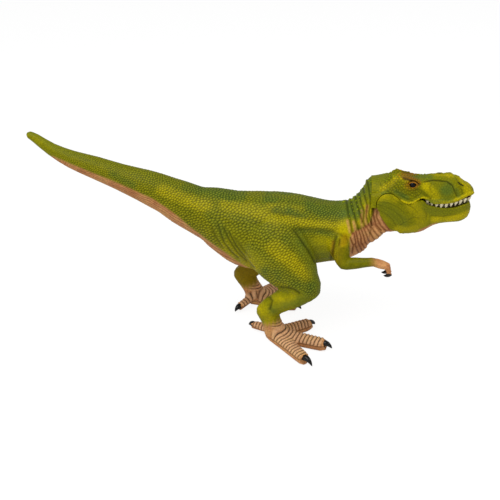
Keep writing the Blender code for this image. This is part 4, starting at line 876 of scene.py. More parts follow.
def makeSkinMaterial(name, speckleScale):
    material, tree, shader, mottle = startMaterial(name, speckleScale)
    masks = {}
    for layer, columns in maskLayers.items():
        read = out(tree, "ShaderNodeAttribute", pick="Color", attribute_name=layer)
        masks.update(zip(columns, nodeIn(tree, "ShaderNodeSeparateColor", {"Color": read}).outputs))
    cloud = mottle["Cloud"]

    def part(mask, share):
        return maths(tree, "MULTIPLY", mask, share)

    def broken(name, amount):
        # a mask whose edge is broken up by the cloudy brushwork
        shifted = part(maths(tree, "SUBTRACT", cloud, 0.5), amount)
        soft = part(shifted, part(masks[name], maths(tree, "SUBTRACT", 1.6, masks[name])))
        return maths(tree, "ADD", masks[name], soft, clamp=True)

    colour = mixColour(tree, part(cloud, 0.16), "green", "bright")
    for layer, amount in (("bright", 0.7), ("dark", 0.8)):
        colour = mixColour(tree, broken(layer, amount), colour, layer)
    # rust-brown paint, also used as painted shade on the far leg and over the eye
    colour = mixColour(tree, masks["rustAndShade"], colour, "rustAndShade")
    # raised tops painted lighter: painted highlight and wear
    colour = mixColour(tree, part(masks["wornAndHighlight"], 0.5), colour, mixColour(tree, 0.38, colour, "scaleTopHighlight"))
    # hollows painted darker on the skin, the tan and the feet: a dark wash and painted shade
    colour = mixColour(tree, part(masks["washAndShade"], 0.88), colour, mixColour(tree, 0.80, colour, "skinWash"))
    tan, foot = (mixColour(tree, masks["washAndShade"], mixColour(tree, cloud, name, name + "Shade"), name + "Wash")
                 for name in ("tan", "foot"))
    colour = mixColour(tree, broken("tan", 0.5), colour, tan)
    # the foot's rib tops painted lighter: painted highlight and wear
    foot = mixColour(tree, part(masks["wornAndHighlight"], 0.75), foot, "wornAndHighlight")
    colour = mixColour(tree, broken("foot", 0.6), colour, foot)
    # the mouth's inside, then dark lines painted as shade
    for layer in ("mouth", "creaseShade"):
        colour = mixColour(tree, masks[layer], colour, layer)
    light = spread(tree, mottle["Speckle"], 0.0, 1.0, 0.84, 1.14)
    grey = out(tree, "ShaderNodeCombineColor", {0: light, 1: light, 2: light})
    linkSurface(tree, shader, mottle, mixColour(tree, 1.0, colour, grey, "MULTIPLY"), (0.40, 0.54), 0.25, 0.00025)
    return material


def makePlainMaterial(name, colour, shade, roughness, **uniform):
    material, tree, shader, mottle = startMaterial(name, 1200.0, **uniform)
    mixed = mixColour(tree, maths(tree, "MULTIPLY", mottle["Cloud"], 0.5), colour, shade)
    linkSurface(tree, shader, mottle, mixed, (roughness - 0.05, roughness + 0.08), 0.12, 0.0001)
    return material


skinMaterial = makeSkinMaterial("paintedSkin", 900.0)
headMaterial = makeSkinMaterial("paintedHead", 1500.0)
clawMaterial = makePlainMaterial("glossyClaw", "#141414", "#2a2620", 0.28, **{"Coat Weight": 0.4})
ivoryMaterial = makePlainMaterial("toothIvory", "#e6dcb8", "#cdbb8c", 0.30, **{"Coat Weight": 0.2})
gumMaterial = makePlainMaterial("gumBrown", "#3c1a12", "#24100c", 0.45)
mouthMaterial = makePlainMaterial("mouthPink", "#8c4238", "#6c2c28", 0.38, **{"Coat Weight": 0.2})
pinMaterial = makePlainMaterial("pinSteel", "#b0b0b2", "#8c8c90", 0.32, Metallic=1.0)
lidMaterial = makePlainMaterial("lidOrange", "#a06c1c", "#6c3c0a", 0.42)
beadMaterial = makePlainMaterial("beadGreen", "#8f9a08", "#5f7414", 0.42)
eyeMaterial = makePlainMaterial("eyeBlack", "#04060e", "#060c1a", 0.10, **{"Coat Weight": 0.25})
print("stage: materials ready")

bodyCast = castSkin("bodyCast", ["trunk", "tail", "right_leg", "left_leg", "right_arm", "left_arm"],
                    body["voxel"] * (1.0), body["grow"], body["rounds"])
print("stage: body cast,", len(bodyCast.data.vertices), "points")
dressBody(bodyCast.data)
print("stage: body dressed")


def upTo(x):
    return (x, 0, 0), (1, 0, 0)


def beyond(x):
    return (x, 0, 0), (-1, 0, 0)


aboveKnee, belowKnee = ((0, 0, kneeCutZ), (0, 0, -1)), ((0, 0, kneeCutZ), (0, 0, 1))
for name, cuts, nodes in (
        ("tailSkin", [upTo(seamX)], ["tail"]),
        ("rearSkin", [beyond(seamX), upTo(waistX), aboveKnee], []),
        ("bodySkin", [beyond(waistX), upTo(chestX), aboveKnee], ["trunk"]),
        ("neckSkin", [beyond(chestX), aboveKnee], ["right_arm", "left_arm"]),
        ("rightLegSkin", [belowKnee, ((0, midY, 0), (0, 1, 0))], ["right_leg"]),
        ("leftLegSkin", [belowKnee, ((0, midY, 0), (0, -1, 0))], ["left_leg"])):
    piece = cutAway(bodyCast, name, cuts)
    piece.data.shade_smooth()
    finishPiece(piece, skinMaterial, "figure", "skin", *nodes)
bpy.data.objects.remove(bodyCast)

# head and jaw
head = {"voxel": 0.00031, "grow": 0.00005, "rounds": 8, "scaleSpacing": 0.0013, "scaleHeight": 0.224,
        "horn": (0.0921, 0.0052), "hornHeight": 0.0014, "hornWidth": 0.0021, "rearReach": 0.0011, "rearEnd": 0.0830,
        # stations along the snout, with the lip's height in the cast and how far it is lowered
        "lipEdge": ((0.1113, 0.1131, 0.1160, 0.1218, 0.1246, 0.1304, 0.1340),
                    (0.1045, 0.1039, 0.1030, 0.1025, 0.1025, 0.1041, 0.1048)),
        "lipDrop": ((0.106, 0.110, 0.113, 0.116, 0.119, 0.123, 0.131, 0.137),
                    (0, 0.0013, 0.0028, 0.0027, 0.0020, 0.0015, 0.0011, 0.0003))}
jaw = {"drop": 0.0020, "reach": 0.0011, "cheekDrop": 0.0014,
       # stations along the jaw and the height of its underside
       "floor": ((0.087, 0.099, 0.107, 0.111, 0.115, 0.119, 0.123, 0.127, 0.131, 0.135),
                 (0.0812, 0.0818, 0.0825, 0.0838, 0.0867, 0.0887, 0.0896, 0.0900, 0.0904, 0.0913))}
headFolds = [
    (-0.4, 0.85, [[(424.4, 181.8), (434, 180.3), (447, 181.6), (452.6, 185.8), (454.7, 191.2), (457, 196)]]),
    (0.45, 1.5, [[(402, 177.6), (409, 177.4), (416, 179.2), (421, 181.8)]]),
    (-0.4, 0.8, [[(403.8, 179.4), (408.5, 180), (414, 181.2), (419.5, 184.4)]]),
    (0.3, 1.05, [[(420, 178.6), (430, 178.2), (440, 178.8)]]),
    (0.62, 1.15, [
        [(394, 197.6), (398.1, 199.6), (403.7, 202.2), (409.3, 203.6), (413.5, 202.8), (419.1, 200),
            (423.3, 198.4), (429.6, 199), (436.7, 201.5), (447.2, 202.5), (457.7, 199.2), (466, 195.2),
            (473, 192.6)]]),
    (-0.35, 0.75, [[(389.7, 193), (395, 196.4), (401, 199.2)]]),
    (-0.25, 0.7, [
        [(398.3, 186.9), (404, 191.8), (410, 195.4), (417, 197.6)],
        [(396, 190.6), (401.5, 195.4), (407, 199), (413, 200.6)],
        [(415.7, 189.2), (419.5, 192), (425, 195.6), (431, 198.6)]]),
    (-0.2, 0.7, [
        [(404.5, 189), (409, 191.6), (414, 193.2), (419, 195.4)], [(391, 183.6), (394.5, 187.2), (399, 190.4)],
        [(388, 186.6), (391, 190), (395.5, 193)]]),
    (-0.22, 0.7, [[(396.5, 178.6), (399.5, 182.2), (403, 184.6)]]),
    (-0.3, 0.65, [[(458.4, 182.5), (461, 184.4), (463.4, 185.8)]]),
    (-0.55, 2, [[(438.6, 172.4), (440.4, 172.4)]]),
    (0.25, 1.2, [[(445.6, 174.6), (446.4, 174.6)]]),
    (0.6, 2.4, [[(451.6, 175.4), (454.8, 176.4)]]),
    (-0.26, 0.67, [
        [(385.1, 181.8), (388.2, 184.6), (386.8, 188.1)],
        [(388.2, 179), (391, 183.2), (390.4, 186.7), (393.2, 190.2)],
        [(391, 177.5), (394.2, 181), (393.5, 185.3), (396.7, 188.8)],
        [(394.6, 183.2), (398.1, 185.3), (399.5, 189.5), (403, 190.9)],
        [(393.9, 174), (396.7, 176.8), (399.5, 179)],
        [(396.7, 190.9), (401.6, 193.7), (406.5, 195.1), (410.7, 193.7), (416.3, 193)],
        [(398.1, 195.1), (403, 197.2), (407.9, 199.3), (413.5, 198.6), (419.1, 195.1), (421.9, 193)],
        [(415.6, 188.1), (420.5, 190.9), (425.4, 195.1), (430.4, 198.6)],
        [(419.1, 189.5), (423.3, 191.6), (428.2, 195.8)], [(380, 183), (382, 187), (381, 192)],
        [(383, 189), (388, 191.5), (393, 194.5)], [(402, 187), (404, 190), (408, 192)],
        [(409, 190.6), (413, 191), (417, 190)], [(456, 178), (458, 181)], [(459, 187), (462, 190), (463, 194)],
        [(464, 181), (467, 185), (470, 188)], [(456, 190), (457.5, 194)], [(432, 183), (430, 188), (432, 193)]]),
]
jawFolds = [
    (-0.24, 0.64, [
        [(377.7, 204.9), (387.5, 207.7), (395.3, 211.9), (401.6, 218.2), (403.7, 223.2)],
        [(378.4, 202.1), (389.6, 203.5), (398.1, 207.7), (405.1, 213.3)],
        [(393.2, 199.3), (400.2, 203.5), (406.5, 209.1), (409.3, 213.3)],
        [(379.1, 210.5), (386.1, 214), (392.5, 219.6), (396.7, 227.4)],
        [(407.9, 220.4), (413.5, 217.5), (419.1, 218.2)], [(400.2, 225.3), (406.5, 221.8), (412.1, 223.2)],
        [(409, 205.5), (414, 208.5), (418, 213)], [(436, 206), (447, 207.5), (458, 206.5)],
        [(431, 216), (443, 216.5), (456, 214.5)], [(424, 209), (427, 214), (426, 220)]]),
    (-0.16, 0.62, [
        [(381, 199), (392, 202), (401, 207), (409, 214)], [(379.5, 203), (390, 207), (399, 213), (405, 220)],
        [(380, 207), (389, 212), (396, 219), (401, 226)], [(383, 213), (390, 219), (396, 226)]]),
    (-0.14, 0.62, [[(386, 197.5), (397, 201.5), (408, 208), (416, 216)]]),
    (-0.12, 0.62, [
        [(410, 206), (418, 212), (424, 221)], [(405, 206), (412, 213), (416, 222)]]),
    (0.25, 1.3, [[(427, 207.2), (440, 209.6), (455, 208.8), (466, 205)]]),
]
headPaint = {
    "dark": [
        (4, 4.5, 0.18, [(377, 180), (384, 175.4), (392, 172.8)]),
        (2.6, 3.2, 0.65, [(406, 173.6), (412, 175), (421, 176), (430, 176.8)]),
        ((7.2, 8), 0.6, 0.8, [(447, 190.2)]), (2, 2.4, 0.65, [(396, 191.6), (401, 194.6), (407, 198)]),
        (2, 2.4, 0.55, [(384, 193.6), (388.6, 192.4)]),
        (1.6, 2.2, 0.6, [(425, 200.6), (438, 201.2), (452, 200)]), (1.4, 2, 0.5, [(457, 190), (459, 196)])],
    "bright": [
        (0, 1.6, 0.95, [(392, 181), (394, 171), (398, 168.6), (406, 171.6), (408, 176), (401, 178.6)]),
        (2.4, 2.4, 0.6, [(383, 189), (388, 185), (393, 181.6)]),
        (3.4, 3, 0.7, [(426, 186), (432, 191), (436, 197)]), (3, 3, 0.75, [(462, 178), (466, 184), (468, 191)]),
        (1.8, 2, 0.5, [(427, 174), (440, 173.6), (456, 176)]),
        (1.5, 1, 1, [(395, 198.2), (398.1, 199.8), (403.7, 202.4), (409.3, 203.8), (413.5, 203), (419.1, 200.2),
            (423.3, 198.6), (429.6, 199.2), (436.7, 201.7), (447.2, 202.7), (457.7, 199.4), (466, 195.4),
            (473, 192.8)]),
        (1.4, 2, 0.6, [(398, 176), (405, 179.6), (411, 181.2)])],
    "rustAndShade": [
        # the oval is the eye's rust-brown ring; the two lines over the eye are painted shade under the brow
        ((7, 4.8), 0.45, 0.55, [(411.6, 185.2)]),
        (0.7, 1.4, 0.35, [(402.4, 178), (407, 178.8), (414, 180.4), (420, 183.6)]),
        (2, 2.4, 0.6, [(400, 174.6), (406, 177), (412, 179.4), (418, 182.6)])],
}
# dark lines painted as shade in the head's creases: near the snout's tip, under the snout's ridge, over the eye and
# along the lip
creaseShadeLines = {
    "creaseShade": [
        (0.55, 0.7, 0.9, [(458.4, 182.6), (460.6, 184.4), (463.2, 185.6)]),
        (0.35, 0.8, 0.6, [(403, 178.2), (408.5, 179.4), (414.5, 181.2), (419.5, 184.6)]),
        (0.25, 0.9, 0.4, [(427, 181), (434, 180.3), (447, 181.6), (451.6, 184.6)]),
        (0.3, 0.6, 0.5, [(399, 200.8), (405.5, 203.9), (412.4, 204.4), (419, 201.8), (424, 200.4)])],
}
jawPaint = {
    "dark": [
        (5, 5.5, 0.3, [(384, 206), (394, 214), (402, 222)]),
        (3.6, 3.4, 0.24, [(426, 208), (434, 211), (446, 211)]), (3, 4, 0.12, [(450, 211), (466, 208)])],
    "bright": [
        (5, 5, 0.48, [(412, 206), (418, 212), (421, 220)]),
        (3, 4, 0.55, [(378, 198), (386, 196.6), (394, 198.4)]),
        (2.4, 2.6, 0.8, [(434, 220), (447, 219.4), (460, 217.6), (469, 213)]),
        (3, 3, 0.6, [(398, 229), (408, 231), (416, 229)])],
    "tan": [
        (0, 1, 0.95, [(416, 233), (420, 229.4), (426, 227.2), (431, 224.4), (437, 222.8), (437, 226),
            (428, 233)])],
}
# beads over the eyes and along the snout: width, soft, how far they face the camera at least, places
beadPlaces = {"browBeads": (2.6, 1.6, 0.1, [(386, 180), (393, 176), (399, 175)]),
              "ridgeBeads": (0.6, 0.4, 0.0, [(419, 179.2), (430, 178.4), (442, 178.9)])}
roughCheek = [(380, 190), (385, 176), (396, 168), (420, 176), (420, 198), (402, 196)]

eye = {"radius": 0.0021, "place": (0.1015, 0.0074, 0.1114), "tilt": 0.22, "sunk": 0.0015, "socket": 0.0009,
       "levelRing": (0.0030, 0.0040), "dip": (0.0015, 0.0026), "rim": (0.0027, 0.0036), "behind": -0.004,
       "lid": 0.00032, "lidLength": 0.0027, "lidHeight": 0.0017, "lidSteps": 40, "lidSides": 10,
       "segments": 32, "rings": 20, "planes": {}}


def eyeAxes(side):
    outward = Vector((0.05, side, eye["tilt"])).normalized()
    along = Vector((1, 0, 0)) - outward * outward.x
    along.normalize()
    return outward, along, outward.cross(along) * (1 if outward.cross(along).z > 0 else -1)


def sinkEyes(co):
    # a shallow socket for each eye, level with the skin round it
    for side in (-1, 1):
        x, wide, z = eye["place"]
        away = co - np.array((x, midY + side * wide, z))
        outward, along, up = (np.array(axis) for axis in eyeAxes(side))
        depth, u, v = away @ outward, away @ along, away @ up
        radial = np.hypot(u, v)
        ring = (radial > eye["levelRing"][0]) & (radial < eye["levelRing"][1]) & (depth > eye["behind"])
        fit = np.stack([np.ones(ring.sum()), u[ring], v[ring]], 1)
        level = np.linalg.lstsq(fit, depth[ring], rcond=None)[0]
        eye["planes"][side] = float(level[0])
        target = level[0] + level[1] * u + level[2] * v - eye["socket"] * fall(*eye["dip"], radial)
        share = fall(*eye["rim"], radial) * (depth > eye["behind"])
        co += outward * (share * (target - depth))[:, None]


def lowerLip(co):
    x, y, z = co.T
    share = fall(0.0012, 0.0068, z - np.interp(x, *head["lipEdge"])) * ramp(0.0030, 0.0055, sideOf(co))
    z -= np.interp(x, *head["lipDrop"]) * share


def raiseHorns(co, normals):
    # a small horn over each brow, and the back of the skull reaches the neck
    x, y, z = co.T
    away = np.hypot(x - head["horn"][0], sideOf(co) - head["horn"][1])
    z += head["hornHeight"] * np.exp(-(away / head["hornWidth"]) ** 2) * ramp(0.0, 0.4, normals[:, 2])
    x -= head["rearReach"] * ramp(0.4, 0.8, -normals[:, 0]) * (x < head["rearEnd"])


def dropJaw(co):
    # the underside of the jaw hangs a little lower than the cast, apart from its floor behind the throat
    x, y, z = co.T
    side = sideOf(co)
    share = fall(0.0005, 0.0085, z - np.interp(x, *jaw["floor"])) * ramp(0.086, 0.094, x)
    middle = fall(0.0075, 0.0095, side) * fall(0.0990, 0.1060, x)
    z -= jaw["drop"] * share * (1 - middle) * (1 - 0.6 * ramp(0.130, 0.136, x))
    cheek = ramp(0.0940, 0.0965, x) * fall(0.0965, 0.0995, x)
    z -= jaw["cheekDrop"] * cheek * ramp(0.0080, 0.0095, side) * fall(0.0825, 0.0880, z)
    x += jaw["reach"] * ramp(0.118, 0.134, x)


def dressHead(mesh, folds, brushes, seed, isJaw):
    co = readCo(mesh)
    if isJaw:
        dropJaw(co)
    else:
        sinkEyes(co)
        lowerLip(co)
        raiseHorns(co, readNormals(mesh))
    writeCo(mesh, co)
    co, normals = readCo(mesh), readNormals(mesh)
    x, y, z = co.T
    spots, outward, side = photoSpots(co), facing(co, normals), sideOf(co)
    seen = ramp(-0.05, 0.30, outward)
    channels = newChannels(len(co))
    layBrushes(spots, seen, brushes, channels)
    # the mouth is where faces look towards the middle, up from the jaw's floor or down from the palate
    if isJaw:
        inward = -normals[:, 1] * np.where(y > midY, 1, -1)
        inside = ramp(0.1, 0.4, inward) + ramp(0.3, 0.7, normals[:, 2]) * fall(0.0955, 0.0970, z)
        under = ramp(0.55, 0.85, -normals[:, 2]) * fall(0.0080, 0.0105, side)
        lift(channels, "tan", under * fall(0.108, 0.118, x))
        rough, rearDarker = 0.5, 0.12 * fall(0.108, 0.122, x)
    else:
        inside = ramp(0.55, 0.85, -normals[:, 2]) * ramp(0.105, 0.109, x) * fall(0.0090, 0.0105, side)
        inside *= fall(0.05, 0.25, outward)
        lift(channels, "dark", 0.3 * ramp(0.75, 0.95, normals[:, 2]))
        rough, rearDarker = np.maximum(0.55, 1.15 * brushMask(spots, 0, 2.0, roughCheek)), 0.0
    inside = np.clip(inside, 0, 1)
    outside = 1 - inside
    pattern = scalePattern(mesh, head["scaleSpacing"], seed, co)[0]
    height = head["scaleHeight"] * millimetre * (np.sqrt(pattern) - 0.6) * rough * outside
    # the gaps between the scales are painted darker as a dark wash and painted shade, and the jaw's rear a little
    # darker all over
    channels["washAndShade"] = np.maximum(rearDarker, fall(0.05, 0.50, pattern) * rough * 0.75) * outside
    carve(spots, seen * outside, folds, height, channels["washAndShade"])
    for column in ("bright", "dark", "tan", "rustAndShade"):
        channels[column] *= outside
    channels["mouth"] = inside
    if not isJaw:
        layBrushes(spots, seen * outside, creaseShadeLines, channels)
    writeCo(mesh, co + normals * height[:, None])
    storeMasks(mesh, channels)
    if not isJaw:
        for name, (width, soft, least, points) in beadPlaces.items():
            scatterBeads(name, mesh, brushMask(spots, width, soft, points) * (outward > least))


for name, node, rider, folds, brushes, seed in (
        ("headSkin", "head", "figure", headFolds, headPaint, 7),
        ("jawSkin", "lower_jaw", "jaw", jawFolds, jawPaint, 9)):
    piece = castSkin(name, [node], head["voxel"], head["grow"], head["rounds"])
    dressHead(piece.data, folds, brushes, seed, rider == "jaw")
    piece.data.shade_smooth()
    finishPiece(piece, headMaterial, rider, "skin", node)


def ringSurface(name, rings, closed=True):
    # a skin through rings of points, joined end to end or capped
    def build(shape):
        loops = [[shape.verts.new(point) for point in ring] for ring in rings]
        for ring, following in list(zip(loops, loops[1:])) + ([(loops[-1], loops[0])] if closed else []):
            for spot in range(len(ring)):
                after = (spot + 1) % len(ring)
                shape.faces.new((ring[spot], ring[after], following[after], following[spot]))
        if not closed:
            shape.faces.new(loops[0])
            shape.faces.new(list(reversed(loops[-1])))
        bmesh.ops.recalc_face_normals(shape, faces=shape.faces)

    mesh = bpy.data.meshes.new(name)
    reshape(mesh, build)
    mesh.shade_smooth()
    return addObject(name, mesh)


def circle(steps):
    return [2 * math.pi * step / steps for step in range(steps)]


def makeEye(name, side):
    outward, along, up = eyeAxes(side)
    x, wide, z = eye["place"]
    level = Vector((x, midY + side * wide, z)) + outward * eye["planes"][side]

    def build(shape):
        bmesh.ops.create_uvsphere(shape, u_segments=eye["segments"], v_segments=eye["rings"], radius=eye["radius"])
        bmesh.ops.translate(shape, vec=level - outward * eye["sunk"], verts=shape.verts)

    mesh = bpy.data.meshes.new(name)
    reshape(mesh, build)
    mesh.shade_smooth()
    finishPiece(addObject(name, mesh), eyeMaterial, "figure", "skin")
    rings = []
    for angle in circle(eye["lidSteps"]):
        centre = (level + along * (eye["lidLength"] * math.cos(angle))
                  + up * (eye["lidHeight"] * math.sin(angle) * (1 - 0.25 * math.cos(angle) ** 2)))
        away = (centre - level).normalized()
        thick = eye["lid"] * (1.0 + 0.35 * math.sin(angle))
        rings.append([centre + away * (thick * math.cos(turn)) + outward * (thick * math.sin(turn) - 0.00005)
                      for turn in circle(eye["lidSides"])])
    finishPiece(ringSurface(name + "Lid", rings), lidMaterial, "figure", "skin")


for name, side in (("rightEye", -1), ("leftEye", 1)):
    makeEye(name, side)

# claws grown along curved paths; an aim here replaces a toe's own direction
claws = {"length": 0.0090, "radius": 0.00225, "droop": 0.42, "sides": 16, "rows": 18, "steps": 8, "bury": 0.0012,
         "arch": 0.16, "archTurn": 2.2, "droopPower": 2.2, "shorten": 0.12,
         "taper": ((0.30, 0.90), (0.65, 0.58), (0.88, 0.28)), "tip": 0.06,
         "handSizes": {"right": (0.0037, 0.0015), "left": (0.0024, 0.0012)},
         "handSeat": (-0.0002, 0, -0.0026), "handApart": (0.0006, -0.0020, 0), "handTurns": (0.6, 1.85),
         "aims": {("right", 2): (0.751, -0.660, 0.0)}}


def pathCurve(tree, ins):
    return out(tree, "GeometryNodeMeshToCurve", {"Mesh": ins["Geometry"]})


def makeClawTree():
    tree, ins = newTree("clawAlongPath", {"Radius": 0.002, "Sides": 12, "Rows": 14})
    even = out(tree, "GeometryNodeResampleCurve", {"Curve": pathCurve(tree, ins), "Count": ins["Rows"]})
    taper = nodeIn(tree, "ShaderNodeFloatCurve", {
        "Value": out(tree, "GeometryNodeSplineParameter", pick="Factor")})
    points = taper.mapping.curves[0].points
    points[0].location = (0.0, 1.0)
    points[1].location = (1.0, claws["tip"])
    for x, y in claws["taper"]:
        points.new(x, y)
    taper.mapping.update()
    thick = out(tree, "GeometryNodeSetCurveRadius", {"Curve": even, "Radius": taper.outputs["Value"]})
    ring = out(tree, "GeometryNodeCurvePrimitiveCircle", {"Resolution": ins["Sides"], "Radius": ins["Radius"]})
    solid = nodeIn(tree, "GeometryNodeCurveToMesh", {"Curve": thick, "Profile Curve": ring, "Fill Caps": True})
    if "Scale" in solid.inputs:
        tree.links.new(out(tree, "GeometryNodeInputRadius"), solid.inputs["Scale"])
    return closeTree(tree, ins, out(tree, "GeometryNodeSetShadeSmooth", {"Geometry": solid.outputs["Mesh"]}))


clawTree = makeClawTree()


def pathMesh(name, paths):
    mesh = bpy.data.meshes.new(name)
    verts, edges = [], []
    for path in paths:
        edges += [(len(verts) + spot, len(verts) + spot + 1) for spot in range(len(path) - 1)]
        verts += path
    mesh.from_pydata(verts, edges, [])
    return mesh


def arcPath(seat, ahead, length):
    path = []
    for step in range(claws["steps"] + 1):
        part = step / claws["steps"]
        rise = claws["arch"] * math.sin(part * claws["archTurn"]) - claws["droop"] * part ** claws["droopPower"]
        path.append(seat + Vector(ahead) * (length * (part - claws["shorten"] * part ** 2))
                    + Vector((0, 0, 1)) * length * rise)
    return path


def growClaws(name, paths, radius):
    def mend(shape):
        bmesh.ops.remove_doubles(shape, verts=shape.verts, dist=0.000005)
        bmesh.ops.recalc_face_normals(shape, faces=shape.faces)
        for vert in shape.verts:
            vert.co.z = max(vert.co.z, 0.0)

    made = runTree(name, pathMesh("claw paths", paths), clawTree, {
        "Radius": radius, "Sides": claws["sides"], "Rows": claws["rows"], "Material": clawMaterial})
    reshape(made.data, mend)
    finishPiece(made, clawMaterial, "figure", "skin")


for sideName, leg in legs.items():
    growClaws(sideName + "ToeClaws", [
        arcPath(Vector(seat) + Vector(ahead) * (grown - claws["bury"]),
                claws["aims"].get((sideName, spot), ahead), claws["length"] * size)
        for spot, (seat, ahead, size, grown) in enumerate(leg["toes"])], claws["radius"])

for sideName, knuckles in hands.items():
    # two claws that curl back under the hand
    paths = []
    length, radius = claws["handSizes"][sideName]
    turns = np.linspace(*claws["handTurns"], claws["steps"] + 1)
    for apart in (-1, 1):
        start = Vector(knuckles) + Vector(claws["handSeat"]) + apart * Vector(claws["handApart"])
        paths.append([start + length * Vector((math.cos(turn) - math.cos(turns[0]), 0,
                                               math.sin(turns[0]) - math.sin(turn) - 0.25)) for turn in turns])
    growClaws(sideName + "HandClaws", paths, radius)
print("stage: claws ready")

# teeth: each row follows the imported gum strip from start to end, and its nose in front of that
upperTeeth = {"radius": 0.00128, "length": 0.0033, "gum": 0.0009, "spacing": 0.00290, "direction": -1,
              "splay": 0.0013, "reach": 0.0020, "mostDrop": 0.0019,
              "rear": 0.11023, "start": 0.1113, "end": 0.13326}
lowerTeeth = {"radius": 0.00080, "length": 0.0010, "gum": 0.0008, "spacing": 0.0024, "direction": 1,
              "splay": 0.0, "reach": 0.0008, "mostDrop": 0.0,
              "rear": 0.11213, "start": 0.11213, "end": 0.1305}
gumStrip = {"height": 0.0020, "edge": 0.0003, "inset": 0.0002, "stations": 9, "noseSteps": 3, "noseShare": 0.45,
            "sides": 10, "depth": 0.7}
tooth = {"sides": 10, "rings": 6, "tip": 0.20, "root": 0.86, "hook": -0.25, "swell": 0.42, "sizes": (0.78, 1.06)}


def makeToothTree():
    tree, ins = newTree("toothRow", {"Spacing": 0.0024, "Radius": 0.001, "Length": 0.0036, "Direction": -1.0,
                                     "Seed": 3})
    even = out(tree, "GeometryNodeCurveToPoints", {"Curve": pathCurve(tree, ins), "Length": ins["Spacing"]},
               mode="LENGTH")
    cone = out(tree, "GeometryNodeMeshCone", {
        "Vertices": tooth["sides"], "Side Segments": tooth["rings"], "Fill Segments": 1,
        "Radius Top": tooth["tip"], "Radius Bottom": tooth["root"], "Depth": 1.0})
    # the sides swell near the root, and the tip hooks backwards
    split = nodeIn(tree, "ShaderNodeSeparateXYZ", {"Vector": out(tree, "GeometryNodeInputPosition")}).outputs
    hook = maths(tree, "MULTIPLY", maths(tree, "POWER", split["Z"], 2.0), tooth["hook"])
    swell = maths(tree, "SINE", maths(tree, "MULTIPLY", split["Z"], math.pi))
    grown = maths(tree, "ADD", maths(tree, "MULTIPLY", swell, tooth["swell"]), 1.0)
    bent = out(tree, "ShaderNodeCombineXYZ", {
        "X": maths(tree, "ADD", maths(tree, "MULTIPLY", split["X"], grown), hook),
        "Y": maths(tree, "MULTIPLY", split["Y"], grown), "Z": split["Z"]})
    shaped = out(tree, "GeometryNodeSetPosition", {"Geometry": cone, "Position": bent})
    tall = maths(tree, "MULTIPLY", ins["Length"], randomSize(tree, ins, *tooth["sizes"]))
    scale = out(tree, "ShaderNodeCombineXYZ", {
        "X": ins["Radius"], "Y": ins["Radius"], "Z": maths(tree, "MULTIPLY", tall, ins["Direction"])})
    return closeTree(tree, ins, out(tree, "GeometryNodeInstanceOnPoints", {
        "Points": even, "Instance": out(tree, "GeometryNodeSetShadeSmooth", {"Geometry": shaped}), "Scale": scale}))


toothTree = makeToothTree()


def gumPlace(node, x, direction):
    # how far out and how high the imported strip's far edge is, where a plane across the figure cuts it
    shape = bmesh.new()
    shape.from_mesh(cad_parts[node].data)
    cut = bmesh.ops.bisect_plane(shape, geom=shape.verts[:] + shape.edges[:] + shape.faces[:],
                                 plane_co=(x, 0, 0), plane_no=(1, 0, 0), dist=1e-7)["geom_cut"]
    spots = np.array([item.co[:] for item in cut if isinstance(item, bmesh.types.BMVert)])
    shape.free()
    spots = spots[spots[:, 1] < midY]
    rise = spots[:, 2] * -direction
    y = spots[rise > rise.max() - gumStrip["edge"], 1]
    return midY - float(y.min() + y.max()) / 2, float(rise.max()) * -direction


def rowPath(row, node):
    # the whole row, spread a little at the front and lowered with the lip
    half = []
    for x in np.linspace(row["rear"], row["end"], gumStrip["stations"]):
        x = max(float(x), row["start"])
        wide, z = gumPlace(node, max(x, row["start"] + gumStrip["inset"]), row["direction"])
        half.append((x, wide, z + row["direction"] * gumStrip["height"]))
    end, wide, z = half[-1]
    for step in range(gumStrip["noseSteps"]):
        angle = math.pi / 2 * (gumStrip["noseSteps"] - 1 - step) / gumStrip["noseSteps"]
        half.append((end + wide * gumStrip["noseShare"] * math.cos(angle), wide * math.sin(angle), z))
    half = [(x + row["reach"] * max(0, x - 0.128) / 0.007, wide + row["splay"] * min(1, wide / 0.003),
             z - min(row["mostDrop"], float(np.interp(x, *head["lipDrop"])))) for x, wide, z in half]
    return ([Vector((x, midY - wide, z)) for x, wide, z in half]
            + [Vector((x, midY + wide, z)) for x, wide, z in reversed(half[:-1])])


def makeTeeth(name, row, seed, rider, node):
    path = rowPath(row, node)
    made = runTree(name, pathMesh("tooth path", [path]), toothTree, {
        "Spacing": row["spacing"], "Radius": row["radius"], "Length": row["length"],
        "Direction": float(row["direction"]), "Seed": seed, "Material": ivoryMaterial})
    reshape(made.data, lambda shape: bmesh.ops.recalc_face_normals(shape, faces=shape.faces))
    finishPiece(made, ivoryMaterial, rider, "teeth", node)
    rings, gum = [], row["gum"]
    for spot, point in enumerate(path):
        run = (path[min(spot + 1, len(path) - 1)] - path[max(spot - 1, 0)]).normalized()
        across = Vector((-run.y, run.x, 0)).normalized()
        middle = point - Vector((0, 0, row["direction"] * gum * gumStrip["depth"]))
        rings.append([middle + across * (gum * math.cos(angle)) + Vector((0, 0, gum * math.sin(angle)))
                      for angle in circle(gumStrip["sides"])])
    finishPiece(ringSurface(name + "Gum", rings, closed=False), gumMaterial, rider, "mouth")


makeTeeth("upperTeeth", upperTeeth, 3, "figure", "upper_teeth")
makeTeeth("lowerTeeth", lowerTeeth, 5, "jaw", "lower_teeth")
print("stage: teeth ready")

for node, material in (("tongue", mouthMaterial), ("jaw_pin", pinMaterial)):
    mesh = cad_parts[node].data
    mesh.materials.clear()
    mesh.materials.append(material)

# floor, light and camera; the camera's rays see floor and world lighter than the object's light is
studio = {"floorSize": 3.0, "floorTint": 0.82, "floorGlow": 1.16, "glowShare": 0.76, "world": 0.42,
          "lamps": {"key": ((-0.25, -0.45, 0.85), 0.9, 6.2), "fill": ((0.7, 0.3, 0.6), 0.8, 1.2)},
          "aim": (0, 0, 0.06)}
white = (1, 1, 1, 1)


def seenRays(tree):
    return out(tree, "ShaderNodeLightPath", pick="Is Camera Ray")


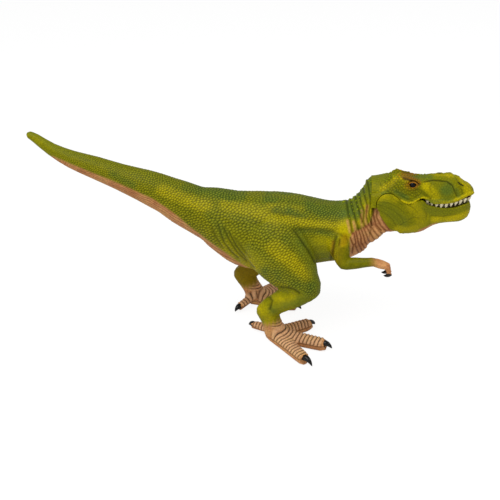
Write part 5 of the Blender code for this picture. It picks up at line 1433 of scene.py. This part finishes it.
def makeFloor():
    half, tint = studio["floorSize"] / 2, studio["floorTint"]
    mesh = bpy.data.meshes.new("floor")
    mesh.from_pydata([(-half, -half, 0), (half, -half, 0), (half, half, 0), (-half, half, 0)], [], [(0, 1, 2, 3)])
    material = bpy.data.materials.new("paleFloor")
    material.use_nodes = True
    tree = material.node_tree
    shader = tree.nodes["Principled BSDF"]
    for label, value in (("Base Color", (tint, tint, tint, 1)), ("Roughness", 0.9), ("Specular IOR Level", 0.1)):
        shader.inputs[label].default_value = value
    glow = out(tree, "ShaderNodeEmission", {"Color": white, "Strength": studio["floorGlow"]})
    share = maths(tree, "MULTIPLY", seenRays(tree), studio["glowShare"])
    mixed = out(tree, "ShaderNodeMixShader", {0: share, 1: shader.outputs[0], 2: glow})
    tree.links.new(mixed, tree.nodes["Material Output"].inputs["Surface"])
    addObject("floor", mesh, material)


def makeWorld():
    world = bpy.data.worlds.new("studio")
    bpy.context.scene.world = world
    world.use_nodes = True
    tree = world.node_tree
    extra = maths(tree, "MULTIPLY", seenRays(tree), 1.0 - studio["world"])
    backdrop = tree.nodes["Background"]
    backdrop.inputs["Color"].default_value = white
    tree.links.new(maths(tree, "ADD", extra, studio["world"]), backdrop.inputs["Strength"])


def aimAt(made, place, ahead):
    made.location = place
    made.rotation_euler = ahead.to_track_quat("-Z", "Y").to_euler()


def makeLamps():
    for name, (place, size, power) in studio["lamps"].items():
        lamp = bpy.data.lights.new(name, "AREA")
        lamp.shape = "DISK"
        lamp.size = size
        lamp.energy = power
        aimAt(addObject(name, lamp), place, Vector(studio["aim"]) - Vector(place))


def makeCamera():
    lens = bpy.data.cameras.new("photo camera")
    lens.lens = camera["lens"]
    lens.sensor_width = camera["sensor"]
    lens.clip_start = 0.01
    made = addObject("photo camera", lens)
    back = Vector(cameraAxes()[0])
    aimAt(made, Vector(camera["target"]) + back * camera["distance"], -back)
    bpy.context.scene.camera = made


makeFloor()
makeWorld()
makeLamps()
makeCamera()
bpy.context.scene.view_settings.view_transform = "Standard"
